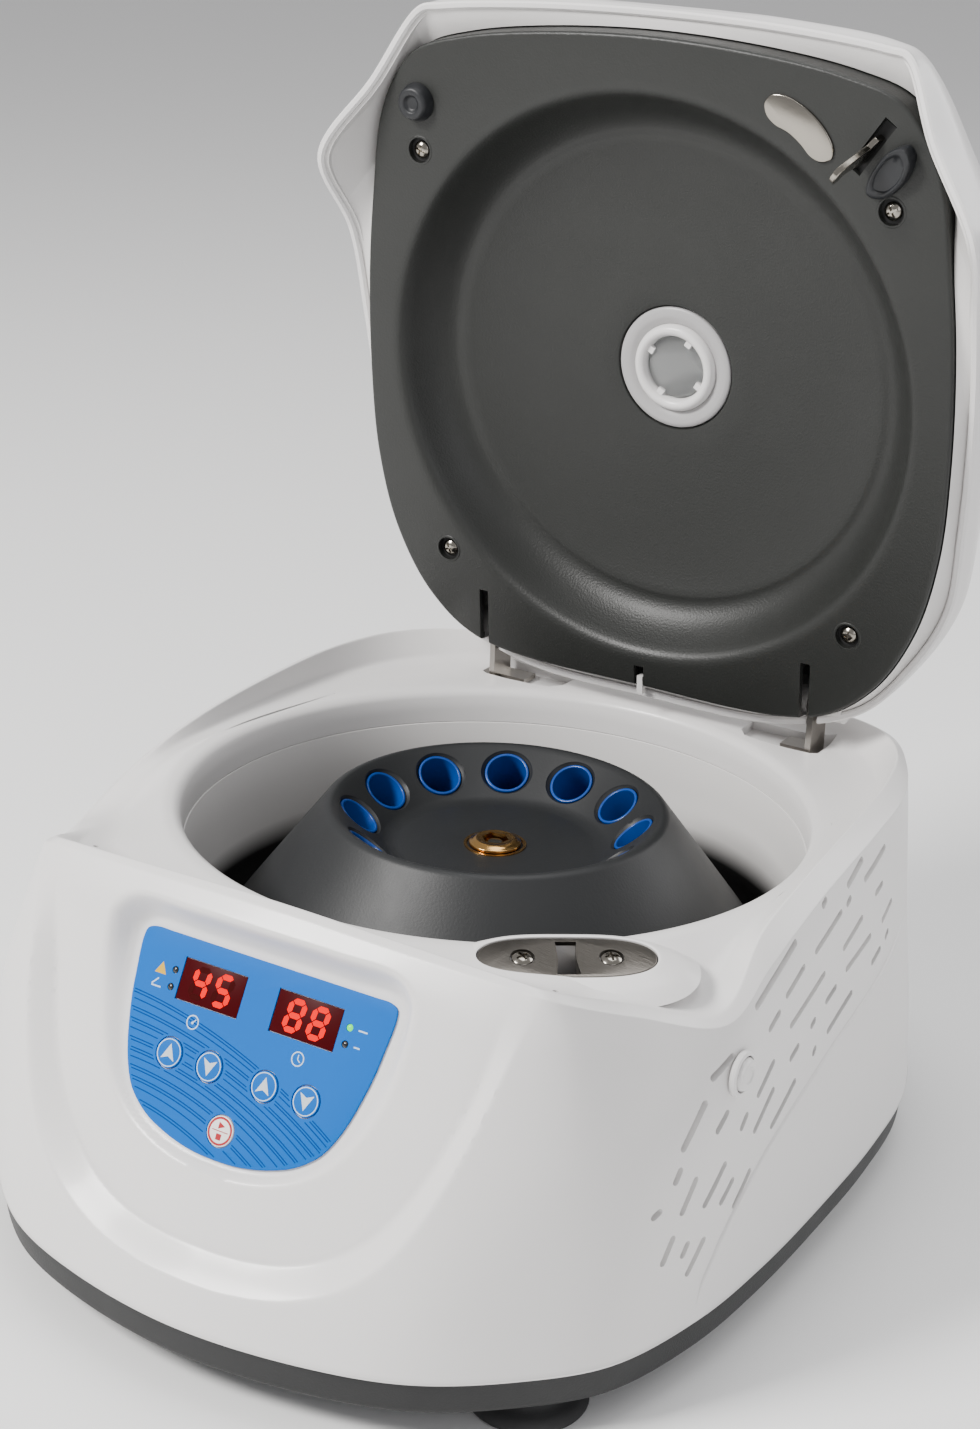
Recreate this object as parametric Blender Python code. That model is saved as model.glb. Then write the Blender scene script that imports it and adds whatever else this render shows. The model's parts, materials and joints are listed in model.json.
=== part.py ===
# Bench-top laboratory centrifuge with a fixed-angle rotor, lid standing open.
# Units are metres in the scene; the tables below are written in millimetres.
# X right, -Y front, +Z up.  Origin: centre of the bounding box at bench level.
import bpy
import bmesh
import math
from mathutils import Vector, Matrix

# ---------------------------------------------------------------- driving sizes
MM = 0.001
Y0 = 9.0                 # rotor axis sits this far behind the origin
GAP = 0.3
RIM_Z = 142.0            # top of the bowl rim
RIM_R = 113.0            # bowl mouth radius
BASE_Z = 12.0            # underside of the base tray
SKIRT_Z = 24.0           # lower edge of the white housing
WALL = 3.0
HINGE_Y, HINGE_Z = 118.8, 159.6
LID_OPEN = 84.6          # degrees the lid stands open
LINER_Z = 145.0          # liner face height when the lid is shut
STRAP_X = 71.3
TUBES = 12
TUBE_R, TUBE_BORE_R, TUBE_LEN = 8.4, 7.3, 62.0
TUBE_MOUTH_R, TUBE_MOUTH_Z, TUBE_TILT = 49.6, 132.1, 38.0
TUBE_PHASE = 27.0
PANEL_Y, PANEL_Z, PANEL_LEAN = -136.7, 131.6, 28.26   # top edge of the control panel
KEY_R = 5.0
KEYS = {"key_speed_up": (-27.3, 37.7), "key_speed_down": (-11.0, 37.7),
        "key_time_up": (11.0, 37.7), "key_time_down": (27.3, 37.7),
        "key_run_stop": (0.0, 55.7)}
DISPLAY_X, DISPLAY_V, DISPLAY_W, DISPLAY_H = 18.9, 13.5, 24.6, 13.6
LATCH_X, LATCH_Y, LATCH_Z, LATCH_AZ, LATCH_TILT = 84.4, -93.4, 140.9, 35.5, 12.0
FOOT_XY = ((97.0, -128.0), (97.0, 118.0))
FOOT_R = 20.5

# half outlines, front centre to rear centre, mirrored about X = 0
OUT_SKIRT = [(0, -190), (45, -184.5), (80, -172.5), (108, -151), (127, -128), (138, -90),
             (141.5, -50), (141.5, 0), (139.5, 45), (134, 85), (121, 117), (99, 145), (60, 165), (0, 172)]
OUT_LOW = [(0, -183.5, 58), (45, -178.5, 58), (82, -168, 58), (109, -147.5, 58), (127, -124, 58), (138, -90, 58),
           (141, -50, 58), (141, 0, 58), (139, 45, 58), (132.5, 83, 58), (119, 115, 58), (98, 143, 58),
           (60, 163, 58), (0, 170, 58)]
OUT_MID = [(0, -170.5, 100), (45, -167, 100), (83, -158.5, 98), (110.5, -141, 96), (127, -118, 92), (137, -88, 90),
           (139.5, -50, 92), (139, 0, 94), (137, 45, 97), (129.5, 80, 100), (115, 111, 102), (94, 138, 103),
           (58, 157, 103), (0, 163, 103)]
OUT_HIGH = [(0, -153, 134), (45, -150.5, 133), (87, -144, 131), (106.5, -131, 129), (121, -107, 119),
            (135.2, -79, 115), (137, -48, 123), (136.5, 0, 131), (134, 42, 135), (127.5, 77, 138),
            (113, 107, 140), (92, 133, 140), (58, 151, 139), (0, 157, 138)]
RAIL_OUT = [(0, -137, 151), (50, -136, 149.5), (90, -132.5, 147), (99.5, -130, 145.5), (116, -104, 134),
            (133.6, -75.5, 124.3), (134.6, -48, 134), (134, -10, 143.5), (131.5, 40, 149), (127.5, 72, 151),
            (117, 98, 152), (99, 124, 151), (60, 145, 147), (0, 151, 146)]
RAIL_TOP = [(0, -134, 153), (50, -133, 151.5), (88, -130, 149), (96.5, -127.5, 147.5), (112, -101, 136),
            (130.2, -75.5, 127.0), (127.5, -42, 142.0), (126.5, -8, 149), (123.5, 40, 153.5), (120, 72, 155),
            (111, 102, 154.5), (94, 124, 152.5), (58, 141, 149), (0, 146, 148)]
DECK_EDGE = [(0, -126, 142.0), (48, -124, 141.5), (82, -115, 139.5), (93, -107, 138), (105, -89, 134.5),
             (118, -66, 132), (121, -36, 140.0), (118.5, 0, 142), (111, 40, 142), (105, 72, 142),
             (96, 97, 142), (79, 119, 142), (50, 133, 142), (0, 136, 142)]
# foot of the rail's inner wall, just outside the shut lid's liner
DECK_WALL = [(0, -129.9, 145.0), (48, -127.9, 144.4), (81, -123.5, 142.6), (95.5, -117.5, 140.6), (108.5, -96, 135.2),
             (124.5, -71, 129.6), (124.6, -39, 140.9), (124.0, -4, 143.2), (122.6, 40, 143.8), (116.8, 72, 144.2),
             (104.5, 99.5, 144.2), (87, 119.5, 144.2), (54, 136, 144.2), (0, 139.5, 144.2)]
# the same stations on the inside face of the wall
IN_SKIRT = [(0, -186.5), (44, -181), (78, -169), (105, -148), (123.5, -125.5), (134.5, -89),
            (138.2, -50), (138.2, 0), (136.2, 44), (131, 83), (118.3, 114.5), (97, 142), (59, 161.8), (0, 168.7)]
IN_LOW = [(0, -170, 56), (44, -169, 56), (79, -159.5, 56), (105.5, -142, 56), (123.3, -121.5, 56), (134.5, -89, 56),
          (137.7, -50, 56), (137.7, 0, 56), (135.7, 44, 56), (129.4, 81.3, 56), (116.4, 112.6, 56), (96, 140, 56),
          (59, 159.8, 56), (0, 166.7, 56)]
IN_MID = [(0, -148, 98), (44, -147, 98), (79, -144, 96), (106, -133, 94), (123, -115, 91), (133.5, -87, 89),
          (136.2, -49, 91), (135.7, 0, 93), (133.7, 44, 95), (126.4, 78.4, 98), (112.4, 108.6, 100),
          (92, 135, 101), (57, 153.8, 101), (0, 159.7, 101)]
IN_HIGH = [(0, -131, 129), (44, -130.5, 128.5), (81, -128, 127), (99, -121, 124), (114, -101, 114),
           (130, -76, 108), (132.5, -48, 118), (132, 0, 127), (129.5, 41, 131), (123, 74, 133),
           (109, 103, 134), (88, 128, 134), (56, 146, 133.5), (0, 152, 133)]
LID_EDGE = [(0, -136, 154.5), (50, -135, 153), (89, -132, 150.5), (98.5, -130, 149), (114, -104, 138.5),
            (133.2, -75.5, 129.6), (130.5, -43, 144.5), (129.5, -9, 150.8), (126.5, 39, 155), (122.5, 71, 156.5),
            (109, 97, 156), (90, 118, 154.5), (57, 128.5, 151.5), (0, 130, 150.5)]
LID_LOW = [(0, -135.5, 166), (50, -134.5, 165), (88, -131, 163), (99.5, -126.5, 162), (117, -100, 158),
           (132.5, -72, 154), (132, -40, 158), (131, -8, 162), (128, 39, 166), (123, 70, 168),
           (109, 96, 168), (89.5, 116.5, 166), (57, 127.5, 164), (0, 129.5, 163)]
LID_MID = [(0, -125, 184), (48, -123, 184), (83, -117, 182), (96, -110, 181), (110, -90, 179), (121, -66, 178),
           (123, -38, 180), (122, -8, 182), (119, 37, 184), (113, 66, 184), (99, 90, 183), (80, 108, 181),
           (50, 118.5, 179), (0, 121, 178)]
LID_HIGH = [(0, -100, 198), (40, -98, 198), (68, -92, 197), (79, -85, 196.5), (90, -70, 196), (97, -50, 196),
            (99, -28, 197), (98, -5, 198), (95, 30, 198), (89, 54, 197.5), (78, 74, 196.5), (62, 88, 195.5),
            (38, 96, 195), (0, 98, 194.5)]
LINER_EDGE = [(0, -128.4), (47, -126), (78, -121.5), (97, -115.5), (107.5, -104), (114.5, -88), (118.5, -62),
              (121.8, -30), (122.8, 10), (120.5, 47), (112.5, 78), (97, 103.5), (74, 119), (0, 122.8)]


# ---------------------------------------------------------------- helpers
def wipe():
    for o in list(bpy.data.objects):
        bpy.data.objects.remove(o, do_unlink=True)


def ring(half, z=None, samples=2, dz=0.0):
    """Closed smooth ring through a half outline mirrored in X (centripetal Catmull-Rom)."""
    pts = [Vector((p[0], p[1], (p[2] if len(p) > 2 else z) + dz)) for p in half]
    full = pts + [Vector((-p.x, p.y, p.z)) for p in pts[-2:0:-1]]
    m = len(full)
    out = []
    for i in range(m):
        p0, p1, p2, p3 = full[(i - 1) % m], full[i], full[(i + 1) % m], full[(i + 2) % m]
        t0 = 0.0
        t1 = t0 + (p1 - p0).length ** 0.5
        t2 = t1 + (p2 - p1).length ** 0.5
        t3 = t2 + (p3 - p2).length ** 0.5
        for k in range(samples):
            t = t1 + (t2 - t1) * k / samples
            a1 = p0 * ((t1 - t) / (t1 - t0)) + p1 * ((t - t0) / (t1 - t0))
            a2 = p1 * ((t2 - t) / (t2 - t1)) + p2 * ((t - t1) / (t2 - t1))
            a3 = p2 * ((t3 - t) / (t3 - t2)) + p3 * ((t - t2) / (t3 - t2))
            b1 = a1 * ((t2 - t) / (t2 - t0)) + a2 * ((t - t0) / (t2 - t0))
            b2 = a2 * ((t3 - t) / (t3 - t1)) + a3 * ((t - t1) / (t3 - t1))
            out.append(b1 * ((t2 - t) / (t2 - t1)) + b2 * ((t - t1) / (t2 - t1)))
    return out


def circle_like(ref, r, z):
    """Circle with one point in the direction of every point of ref."""
    out = []
    for p in ref:
        a = math.atan2(p.y, p.x)
        out.append(Vector((r * math.cos(a), r * math.sin(a), z)))
    return out


def inset(rng, d):
    """Pull a ring in by d along its plan normal."""
    n = len(rng)
    out = []
    for i, p in enumerate(rng):
        t = rng[(i + 1) % n] - rng[i - 1]
        nrm = Vector((-t.y, t.x, 0.0))
        if nrm.length < 1e-9:
            nrm = Vector((-p.x, -p.y, 0))
        nrm.normalize()
        out.append(p + nrm * d)
    return out


def material(name, rgb, rough, metal=0.0, alpha=1.0):
    m = bpy.data.materials.new(name)
    m.use_nodes = True
    b = m.node_tree.nodes["Principled BSDF"]
    b.inputs["Base Color"].default_value = (rgb[0], rgb[1], rgb[2], 1.0)
    b.inputs["Roughness"].default_value = rough
    b.inputs["Metallic"].default_value = metal
    b.inputs["Alpha"].default_value = alpha
    m.diffuse_color = (rgb[0], rgb[1], rgb[2], 1.0)
    return m


WHITE = ((0.80, 0.79, 0.77), 0.38, 0.0)
CHARCOAL = ((0.06, 0.06, 0.06), 0.6, 0.0)
LINER = ((0.07, 0.07, 0.068), 0.55, 0.0)
ROTOR = ((0.05, 0.053, 0.057), 0.5, 0.0)
BLUE_TUBE = ((0.0, 0.10, 0.38), 0.35, 0.0)
BLUE_PANEL = ((0.0, 0.24, 0.75), 0.3, 0.0)
STEEL = ((0.55, 0.54, 0.52), 0.28, 1.0)
BRASS = ((0.78, 0.55, 0.25), 0.25, 1.0)
RUBBER = ((0.03, 0.03, 0.03), 0.8, 0.0)
RED = ((0.35, 0.01, 0.02), 0.2, 0.0)
BOARD = ((0.02, 0.20, 0.08), 0.5, 0.0)
MOTOR = ((0.25, 0.25, 0.26), 0.4, 0.8)


def make(name, verts, faces, mat, origin=(0, 0, 0), rot=None, parent=None, recalc=True, smooth=True):
    """Mesh from millimetre points given about the machine's rotor axis; origin is in the same frame."""
    o = Vector(origin)
    me = bpy.data.meshes.new(name)
    inv = rot.inverted() if rot else None
    loc = []
    for v in verts:
        q = Vector(v) - o
        if inv:
            q = inv @ q
        loc.append(q * MM)
    me.from_pydata(loc, [], faces)
    me.update()
    if recalc:
        bm = bmesh.new()
        bm.from_mesh(me)
        bmesh.ops.recalc_face_normals(bm, faces=bm.faces)
        bm.to_mesh(me)
        bm.free()
    ob = bpy.data.objects.new(name, me)
    bpy.context.scene.collection.objects.link(ob)
    if mat is not None:
        me.materials.append(material(name + "_mat", *mat))
    if parent is not None:
        ob.parent = parent
        ob.location = (o - PARENT_AT[parent.name]) * MM
    else:
        ob.location = (o + Vector((0, Y0, 0))) * MM
    if rot:
        ob.rotation_euler = rot.to_euler()
    if smooth and mat is not None:
        me.shade_smooth()
        me.set_sharp_from_angle(angle=math.radians(35))
    return ob


def loft(name, rings, mat, closed=False, **kw):
    n = len(rings[0])
    verts = [p for r in rings for p in r]
    faces = []
    last = len(rings) if closed else len(rings) - 1
    for j in range(last):
        a, b = j * n, ((j + 1) % len(rings)) * n
        for i in range(n):
            k = (i + 1) % n
            faces.append((a + i, a + k, b + k, b + i))
    if not closed:
        faces.append(tuple(range(n - 1, -1, -1)))
        faces.append(tuple((len(rings) - 1) * n + i for i in range(n)))
    return make(name, verts, faces, mat, **kw)


def turned(name, profile, mat, steps=28, centre=(0, 0), axis=None, **kw):
    """Revolve a closed profile of (radius, height); zero radius makes a pole."""
    verts, idx = [], []
    for r, z in profile:
        if r < 1e-6:
            idx.append([len(verts)] * steps)
            verts.append(Vector((centre[0], centre[1], z)))
        else:
            row = []
            for s in range(steps):
                a = 2 * math.pi * s / steps
                row.append(len(verts))
                verts.append(Vector((centre[0] + r * math.cos(a), centre[1] + r * math.sin(a), z)))
            idx.append(row)
    faces = []
    for j in range(len(profile)):
        a, b = idx[j], idx[(j + 1) % len(profile)]
        if a[0] == a[1] and b[0] == b[1]:
            continue
        for s in range(steps):
            k = (s + 1) % steps
            f = [a[s], a[k], b[k], b[s]]
            g = []
            for v in f:
                if v not in g:
                    g.append(v)
            if len(g) >= 3:
                faces.append(tuple(g))
    if axis is not None:
        verts = [axis @ v for v in verts]
    return make(name, verts, faces, mat, **kw)


def prism(name, outline, lo, hi, mat, frame=None, **kw):
    """Extrude a plan outline from lo to hi; frame maps (u, v, w) to machine millimetres."""
    n = len(outline)
    verts = [Vector((p[0], p[1], lo)) for p in outline] + [Vector((p[0], p[1], hi)) for p in outline]
    if frame is not None:
        verts = [frame @ v for v in verts]
    faces = [tuple(range(n - 1, -1, -1)), tuple(range(n, 2 * n))]
    for i in range(n):
        k = (i + 1) % n
        faces.append((i, k, n + k, n + i))
    return make(name, verts, faces, mat, **kw)


def box(name, lo, hi, mat, frame=None, **kw):
    out = [(lo[0], lo[1]), (hi[0], lo[1]), (hi[0], hi[1]), (lo[0], hi[1])]
    return prism(name, out, lo[2], hi[2], mat, frame=frame, **kw)


def disc(cx, cy, r, steps=24):
    return [(cx + r * math.cos(2 * math.pi * i / steps), cy + r * math.sin(2 * math.pi * i / steps))
            for i in range(steps)]


def cut(ob, tool, op='DIFFERENCE'):
    tool.hide_render = True
    tool.display_type = 'WIRE'
    m = ob.modifiers.new("b_" + tool.name, 'BOOLEAN')
    m.operation = op
    m.solver = 'EXACT'
    m.object = tool


PARENT_AT = {}


def pivot(name, at, rot_x=0.0):
    e = bpy.data.objects.new(name, None)
    bpy.context.scene.collection.objects.link(e)
    e.location = (Vector(at) + Vector((0, Y0, 0))) * MM
    e.rotation_euler = (math.radians(rot_x), 0, 0)
    PARENT_AT[name] = Vector(at)
    return e


def panel_frame():
    """(x, v, w): x across, v down the panel, w outwards."""
    a = math.radians(PANEL_LEAN)
    vx = Vector((1, 0, 0))
    vv = Vector((0, -math.sin(a), -math.cos(a)))
    vw = Vector((0, -math.cos(a), math.sin(a)))
    return Matrix(((vx.x, vv.x, vw.x, 0), (vx.y, vv.y, vw.y, PANEL_Y), (vx.z, vv.z, vw.z, PANEL_Z), (0, 0, 0, 1)))


def latch_frame(tilt=True):
    """(t, r, w): t along the latch plate, r outwards, w up off the plate."""
    a = math.radians(LATCH_AZ)
    s = math.radians(LATCH_TILT if tilt else 0.0)
    et = Vector((math.cos(a), math.sin(a), 0))
    er0 = Vector((math.sin(a), -math.cos(a), 0))
    er = er0 * math.cos(s) - Vector((0, 0, 1)) * math.sin(s)
    ew = er.cross(et) * -1.0
    if ew.z < 0:
        ew = -ew
    return Matrix(((et.x, er.x, ew.x, LATCH_X), (et.y, er.y, ew.y, LATCH_Y), (et.z, er.z, ew.z, LATCH_Z), (0, 0, 0, 1)))


def u_outline(half_w, top, bottom, corner, power=2.6, steps=9):
    """Panel outline: square shoulders above, round below. (x, v) points."""
    pts = []
    for i in range(5):
        a = math.pi / 2 * i / 4
        pts.append((half_w - corner + corner * math.sin(a), top + corner - corner * math.cos(a)))
    v_mid = top + 0.22 * (bottom - top)
    for i in range(1, steps + 1):
        a = math.pi / 2 * i / steps
        c, s = max(math.cos(a), 0.0), math.sin(a)
        pts.append((half_w * c ** (2 / power), v_mid + (bottom - v_mid) * s ** (2 / power)))
    pts[-1] = (0.0, bottom)
    left = [(-x, v) for x, v in reversed(pts[:-1])]
    return pts + left


def lens_outline(half_l, half_w, nose, steps=8):
    """Long lens with rounded ends, as (t, r) points."""
    pts = []
    for i in range(4 * steps):
        a = 2 * math.pi * i / (4 * steps)
        c, s = math.cos(a), math.sin(a)
        pts.append((half_l * math.copysign(abs(c) ** nose, c), half_w * math.copysign(abs(s) ** 0.9, s)))
    return pts


# ---------------------------------------------------------------- housing
def build_base():
    lo = ring([(x * 0.985, y * 0.988) for x, y in OUT_SKIRT], BASE_Z)
    top = ring([(x * 0.992, y * 0.994) for x, y in OUT_SKIRT], SKIRT_Z - GAP)
    loft("base_tray", [lo, top, inset(top, 2.5), [Vector((p.x, p.y, BASE_Z + 2.5)) for p in inset(lo, 2.5)]], CHARCOAL)
    n = 0
    for y in (FOOT_XY[0][1], FOOT_XY[1][1]):
        for s in (-1, 1):
            nm = "foot_" + ("front_" if n < 2 else "rear_") + ("left" if s < 0 else "right")
            r = FOOT_R
            turned(nm, [(0, 0), (r - 1.5, 0), (r, 1.2), (r - 1.5, 4.0), (r - 6.5, 6.5), (r - 7.5, BASE_Z - GAP),
                        (0, BASE_Z - GAP)], RUBBER, steps=24, centre=(s * FOOT_XY[0][0], y),
                   origin=(s * FOOT_XY[0][0], y, 0))
            n += 1


def build_housing():
    skirt = ring(OUT_SKIRT, SKIRT_Z)
    edge = ring(DECK_EDGE)
    rings = [skirt, ring(OUT_LOW), ring(OUT_MID), ring(OUT_HIGH), ring(RAIL_OUT), ring(RAIL_TOP), ring(DECK_WALL), edge,
             circle_like(edge, RIM_R + 7.5, RIM_Z), circle_like(edge, RIM_R + 3.0, RIM_Z - 0.6),
             circle_like(edge, RIM_R + 0.6, RIM_Z - 3.0), circle_like(edge, RIM_R, RIM_Z - 7.0),
             circle_like(edge, RIM_R, 128.0), circle_like(edge, RIM_R + 2.6, 128.0),
             circle_like(edge, RIM_R + 4.5, RIM_Z - 6.5),
             [Vector((p.x, p.y, p.z - 6.0)) for p in edge],
             ring(IN_HIGH), ring(IN_MID), ring(IN_LOW), ring(IN_SKIRT, SKIRT_Z)]
    sh = loft("housing_shell", rings, WHITE, closed=True)
    pf = panel_frame()
    # shield-shaped face pressed into the front, leaning less than the panel itself
    a = math.radians(21.3)
    ff = Matrix(((1, 0, 0, 0), (0, -math.sin(a), -math.cos(a), -145.1), (0, -math.cos(a), math.sin(a), 136.1), (0, 0, 0, 1)))
    half = [(84, -30), (84, 8), (80, 33), (72.5, 56), (59, 77), (41, 89), (20, 95), (0, 97)]
    cut(sh, prism("t_fascia", half + [(-x, v) for x, v in half[-2::-1]], 0, 30, None, frame=ff))
    cut(sh, prism("t_panel_recess", u_outline(64, -10, 70, 9), -1.1, 30, None, frame=pf))
    cut(sh, prism("t_panel_hole", u_outline(43, 3, 61, 4), -14, 5, None, frame=pf))
    lf = latch_frame()
    cut(sh, prism("t_latch_seat", lens_outline(29.2, 10.2, 0.62), -1.8, 14, None, frame=lf))
    cut(sh, box("t_latch_slot", (-3.9, -8.2, -16), (3.9, 9.2, 6), None, frame=lf))
    for s, nm in ((-1, "l"), (1, "r")):
        cut(sh, box("t_strap_pocket_" + nm, (min(s * 56, s * 75.5), 109, 138.6), (max(s * 56, s * 75.5), 126.5, 150), None))
    for s, nm in ((-14.2, "l"), (14.2, "r")):
        cut(sh, prism("t_latch_screw_" + nm, disc(s, 0, 2.4, 16), -9, 5, None, frame=lf))
    cut(sh, box("t_inlet_hole", (-68, 140, 34), (-8, 180, 68), None))
    cut(sh, prism("t_release_hole", disc(-72.3, 107.0, 6.3, 20), 120, 160, None,
                  frame=Matrix(((0, 0, 1, 0), (1, 0, 0, 0), (0, 1, 0, 0), (0, 0, 0, 1)))))


def build_bowl_and_drive():
    turned("chamber_bowl", [(112.7, 127.7), (111.8, 108), (110.2, 86), (107.5, 78.5), (102, 74), (94, 72), (16, 71.5),
                            (16, 69.3), (95, 69.6), (103.4, 71.8), (109.6, 76.8), (112.5, 85.3), (114.2, 107.7),
                            (115.2, 127.7)], WHITE, steps=48)
    turned("shaft_seal", [(7.0, 69.6), (15.7, 69.6), (15.7, 71.8), (19, 71.8), (19, 73.6), (11, 74.6), (9, 76.0), (7.0, 76.0)],
           RUBBER, steps=28)
    turned("damper_ring", [(40, 65.9), (52, 65.9), (52, 69.0), (40, 69.0)], RUBBER, steps=28)
    turned("motor_mount_plate", [(12, 62.6), (62, 62.6), (62, 65.6), (12, 65.6)], STEEL, steps=32)
    turned("motor_housing", [(0, 19.0), (42, 19.0), (44, 21.0), (44, 60.3), (42, 62.3), (6.4, 62.3), (6.4, 25.7), (0, 25.7)],
           MOTOR, steps=32)
    pb = box("power_board", (-30, 92, 22), (70, 150, 23.6), BOARD)
    cut(pb, box("t_heatsink", (40, 98, 22.5), (62, 144, 46), None), 'UNION')
    cut(pb, box("t_capacitor", (-20, 100, 22.5), (5, 125, 50), None), 'UNION')
    # inlet and rocker module on the back
    mod = box("power_inlet", (-66, 148, 36), (-10, 167.2, 66), CHARCOAL)
    cut(mod, prism("t_socket", [(-62, 42), (-38, 42), (-38, 58), (-42, 62), (-58, 62), (-62, 58)], 152, 190, None,
                   frame=Matrix(((1, 0, 0, 0), (0, 0, 1, 0), (0, 1, 0, 0), (0, 0, 0, 1)))))
    cut(mod, box("t_rocker_well", (-31, 156, 40), (-16, 190, 62), None))
    pn = box("t_pins", (-51.2, 151, 55), (-48.8, 165, 57.5), None)
    cut(mod, pn, 'UNION')
    piv = pivot("power_switch_pivot", (-23.5, 164.0, 51.0))
    prism("power_switch", [(-9.9, -3.0), (-9.9, 3.4), (0, 1.2), (9.9, 1.2), (9.9, -3.0), (3, -6.5), (-3, -6.5)], -30.4, -16.6, RUBBER,
          frame=Matrix(((0, 0, 1, 0), (0, 1, 0, 164.0), (1, 0, 0, 51.0), (0, 0, 0, 1))),
          origin=(-23.5, 164.0, 51.0), parent=piv)


def build_panel():
    pf = panel_frame()
    ov = prism("control_overlay", u_outline(50, 0, 65, 5, power=2.5), -0.8, 0.0, BLUE_PANEL, frame=pf)
    for nm, (x, v) in KEYS.items():
        cut(ov, prism("t_hole_" + nm, disc(x, v, KEY_R + 0.4, 24), -5, 5, None, frame=pf))
        c = pf @ Vector((x, v, 0))
        prism(nm, disc(x, v, KEY_R, 24), -2.2, 0.3, WHITE if nm == "key_run_stop" else BLUE_PANEL, frame=pf, origin=c)
    for s, nm in ((-1, "display_speed"), (1, "display_time")):
        cx = s * DISPLAY_X
        w, h = DISPLAY_W / 2, DISPLAY_H / 2
        cut(ov, box("t_hole_" + nm, (cx - w - GAP, DISPLAY_V - h - GAP, -5), (cx + w + GAP, DISPLAY_V + h + GAP, 5), None, frame=pf))
        box(nm, (cx - w, DISPLAY_V - h, -7.6), (cx + w, DISPLAY_V + h, -0.1), RED, frame=pf)
    box("control_board", (-41, 5, -9.5), (41, 56, -7.9), BOARD, frame=pf)


def build_latch():
    lf = latch_frame()
    pl = prism("latch_plate", lens_outline(28.7, 9.8, 0.62), -1.5, 0.0, STEEL, frame=lf)
    cut(pl, box("t_plate_slot", (-3.4, -7.8, -5), (3.4, 8.6, 5), None, frame=lf))
    for s, nm in ((-14.2, "left"), (14.2, "right")):
        cut(pl, prism("t_plate_screw_" + nm, disc(s, 0, 4.0, 20), -5, 5, None, frame=lf))
        turned("latch_screw_" + nm, [(0, -7.5), (2.0, -7.5), (2.0, -1.6), (3.6, -0.1), (3.2, 0.5), (0, 0.7)], STEEL, steps=20,
               centre=(s, 0), axis=lf)
    ff = latch_frame(False)
    lk = box("lock_solenoid", (-14, -8.2, -38), (14, 9.0, -13.4), MOTOR, frame=ff)
    cut(lk, box("t_lock_slot", (-4.0, -6.5, -30), (4.0, 12.5, 0), None, frame=ff))
    sw = Matrix(((1, 0, 0, 0), (0, 0, 1, 0), (0, 1, 0, 0), (0, 0, 0, 1)))
    prism("latch_catch", [(-16, -12.9), (-9, -12.9), (-9, -9.7), (-3.0, -9.7), (-3.0, -7.5), (-16, -7.5)], -5.4, -2.2, STEEL,
          frame=ff @ sw, origin=ff @ Vector((-9.5, -3.8, -9.0)))


def build_straps():
    for s, nm in ((-1, "left"), (1, "right")):
        x0, x1 = STRAP_X - 1.15, STRAP_X + 1.15
        prof = [(58, 138.9), (x1, 138.9), (x1, 166.0), (x0, 166.0), (x0, 140.9), (58, 140.9)]
        fr = Matrix(((s, 0, 0, 0), (0, 0, 1, 0), (0, 1, 0, 0), (0, 0, 0, 1)))
        st = prism("hinge_strap_" + nm, prof, 114.5, 123.6, STEEL, frame=fr)
        cut(st, box("t_strap_front_" + nm, (min(s * x0, s * x1), 110.7, 138.9), (max(s * x0, s * x1), 115.0, 166.0), None), 'UNION')
        cut(st, prism("t_strap_bore_" + nm, disc(HINGE_Y, HINGE_Z, 3.05, 24), 60, 80, None,
                      frame=Matrix(((0, 0, s, 0), (1, 0, 0, 0), (0, 1, 0, 0), (0, 0, 0, 1)))))


def build_release():
    fr = Matrix(((0, 0, 1, 0), (1, 0, 0, 0), (0, 1, 0, 0), (0, 0, 0, 1)))
    turned("release_plug", [(0, 118), (3.0, 118), (3.0, 133), (5.6, 133), (5.8, 140.2), (4.6, 141.1), (0, 141.3)], WHITE, steps=24,
           centre=(-72.3, 107.0), axis=fr, origin=(138, -72.3, 107))


# ---------------------------------------------------------------- rotor
def tube_axis(k):
    a = math.radians(TUBE_PHASE + 360.0 / TUBES * k)
    t = math.radians(TUBE_TILT)
    out = Vector((math.cos(a), math.sin(a), 0))
    down = out * math.sin(t) - Vector((0, 0, math.cos(t)))
    mouth = out * TUBE_MOUTH_R + Vector((0, 0, TUBE_MOUTH_Z))
    w = -down
    u = Vector((-math.sin(a), math.cos(a), 0))
    v = w.cross(u)
    return Matrix(((u.x, v.x, w.x, mouth.x), (u.y, v.y, w.y, mouth.y), (u.z, v.z, w.z, mouth.z), (0, 0, 0, 1)))


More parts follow.
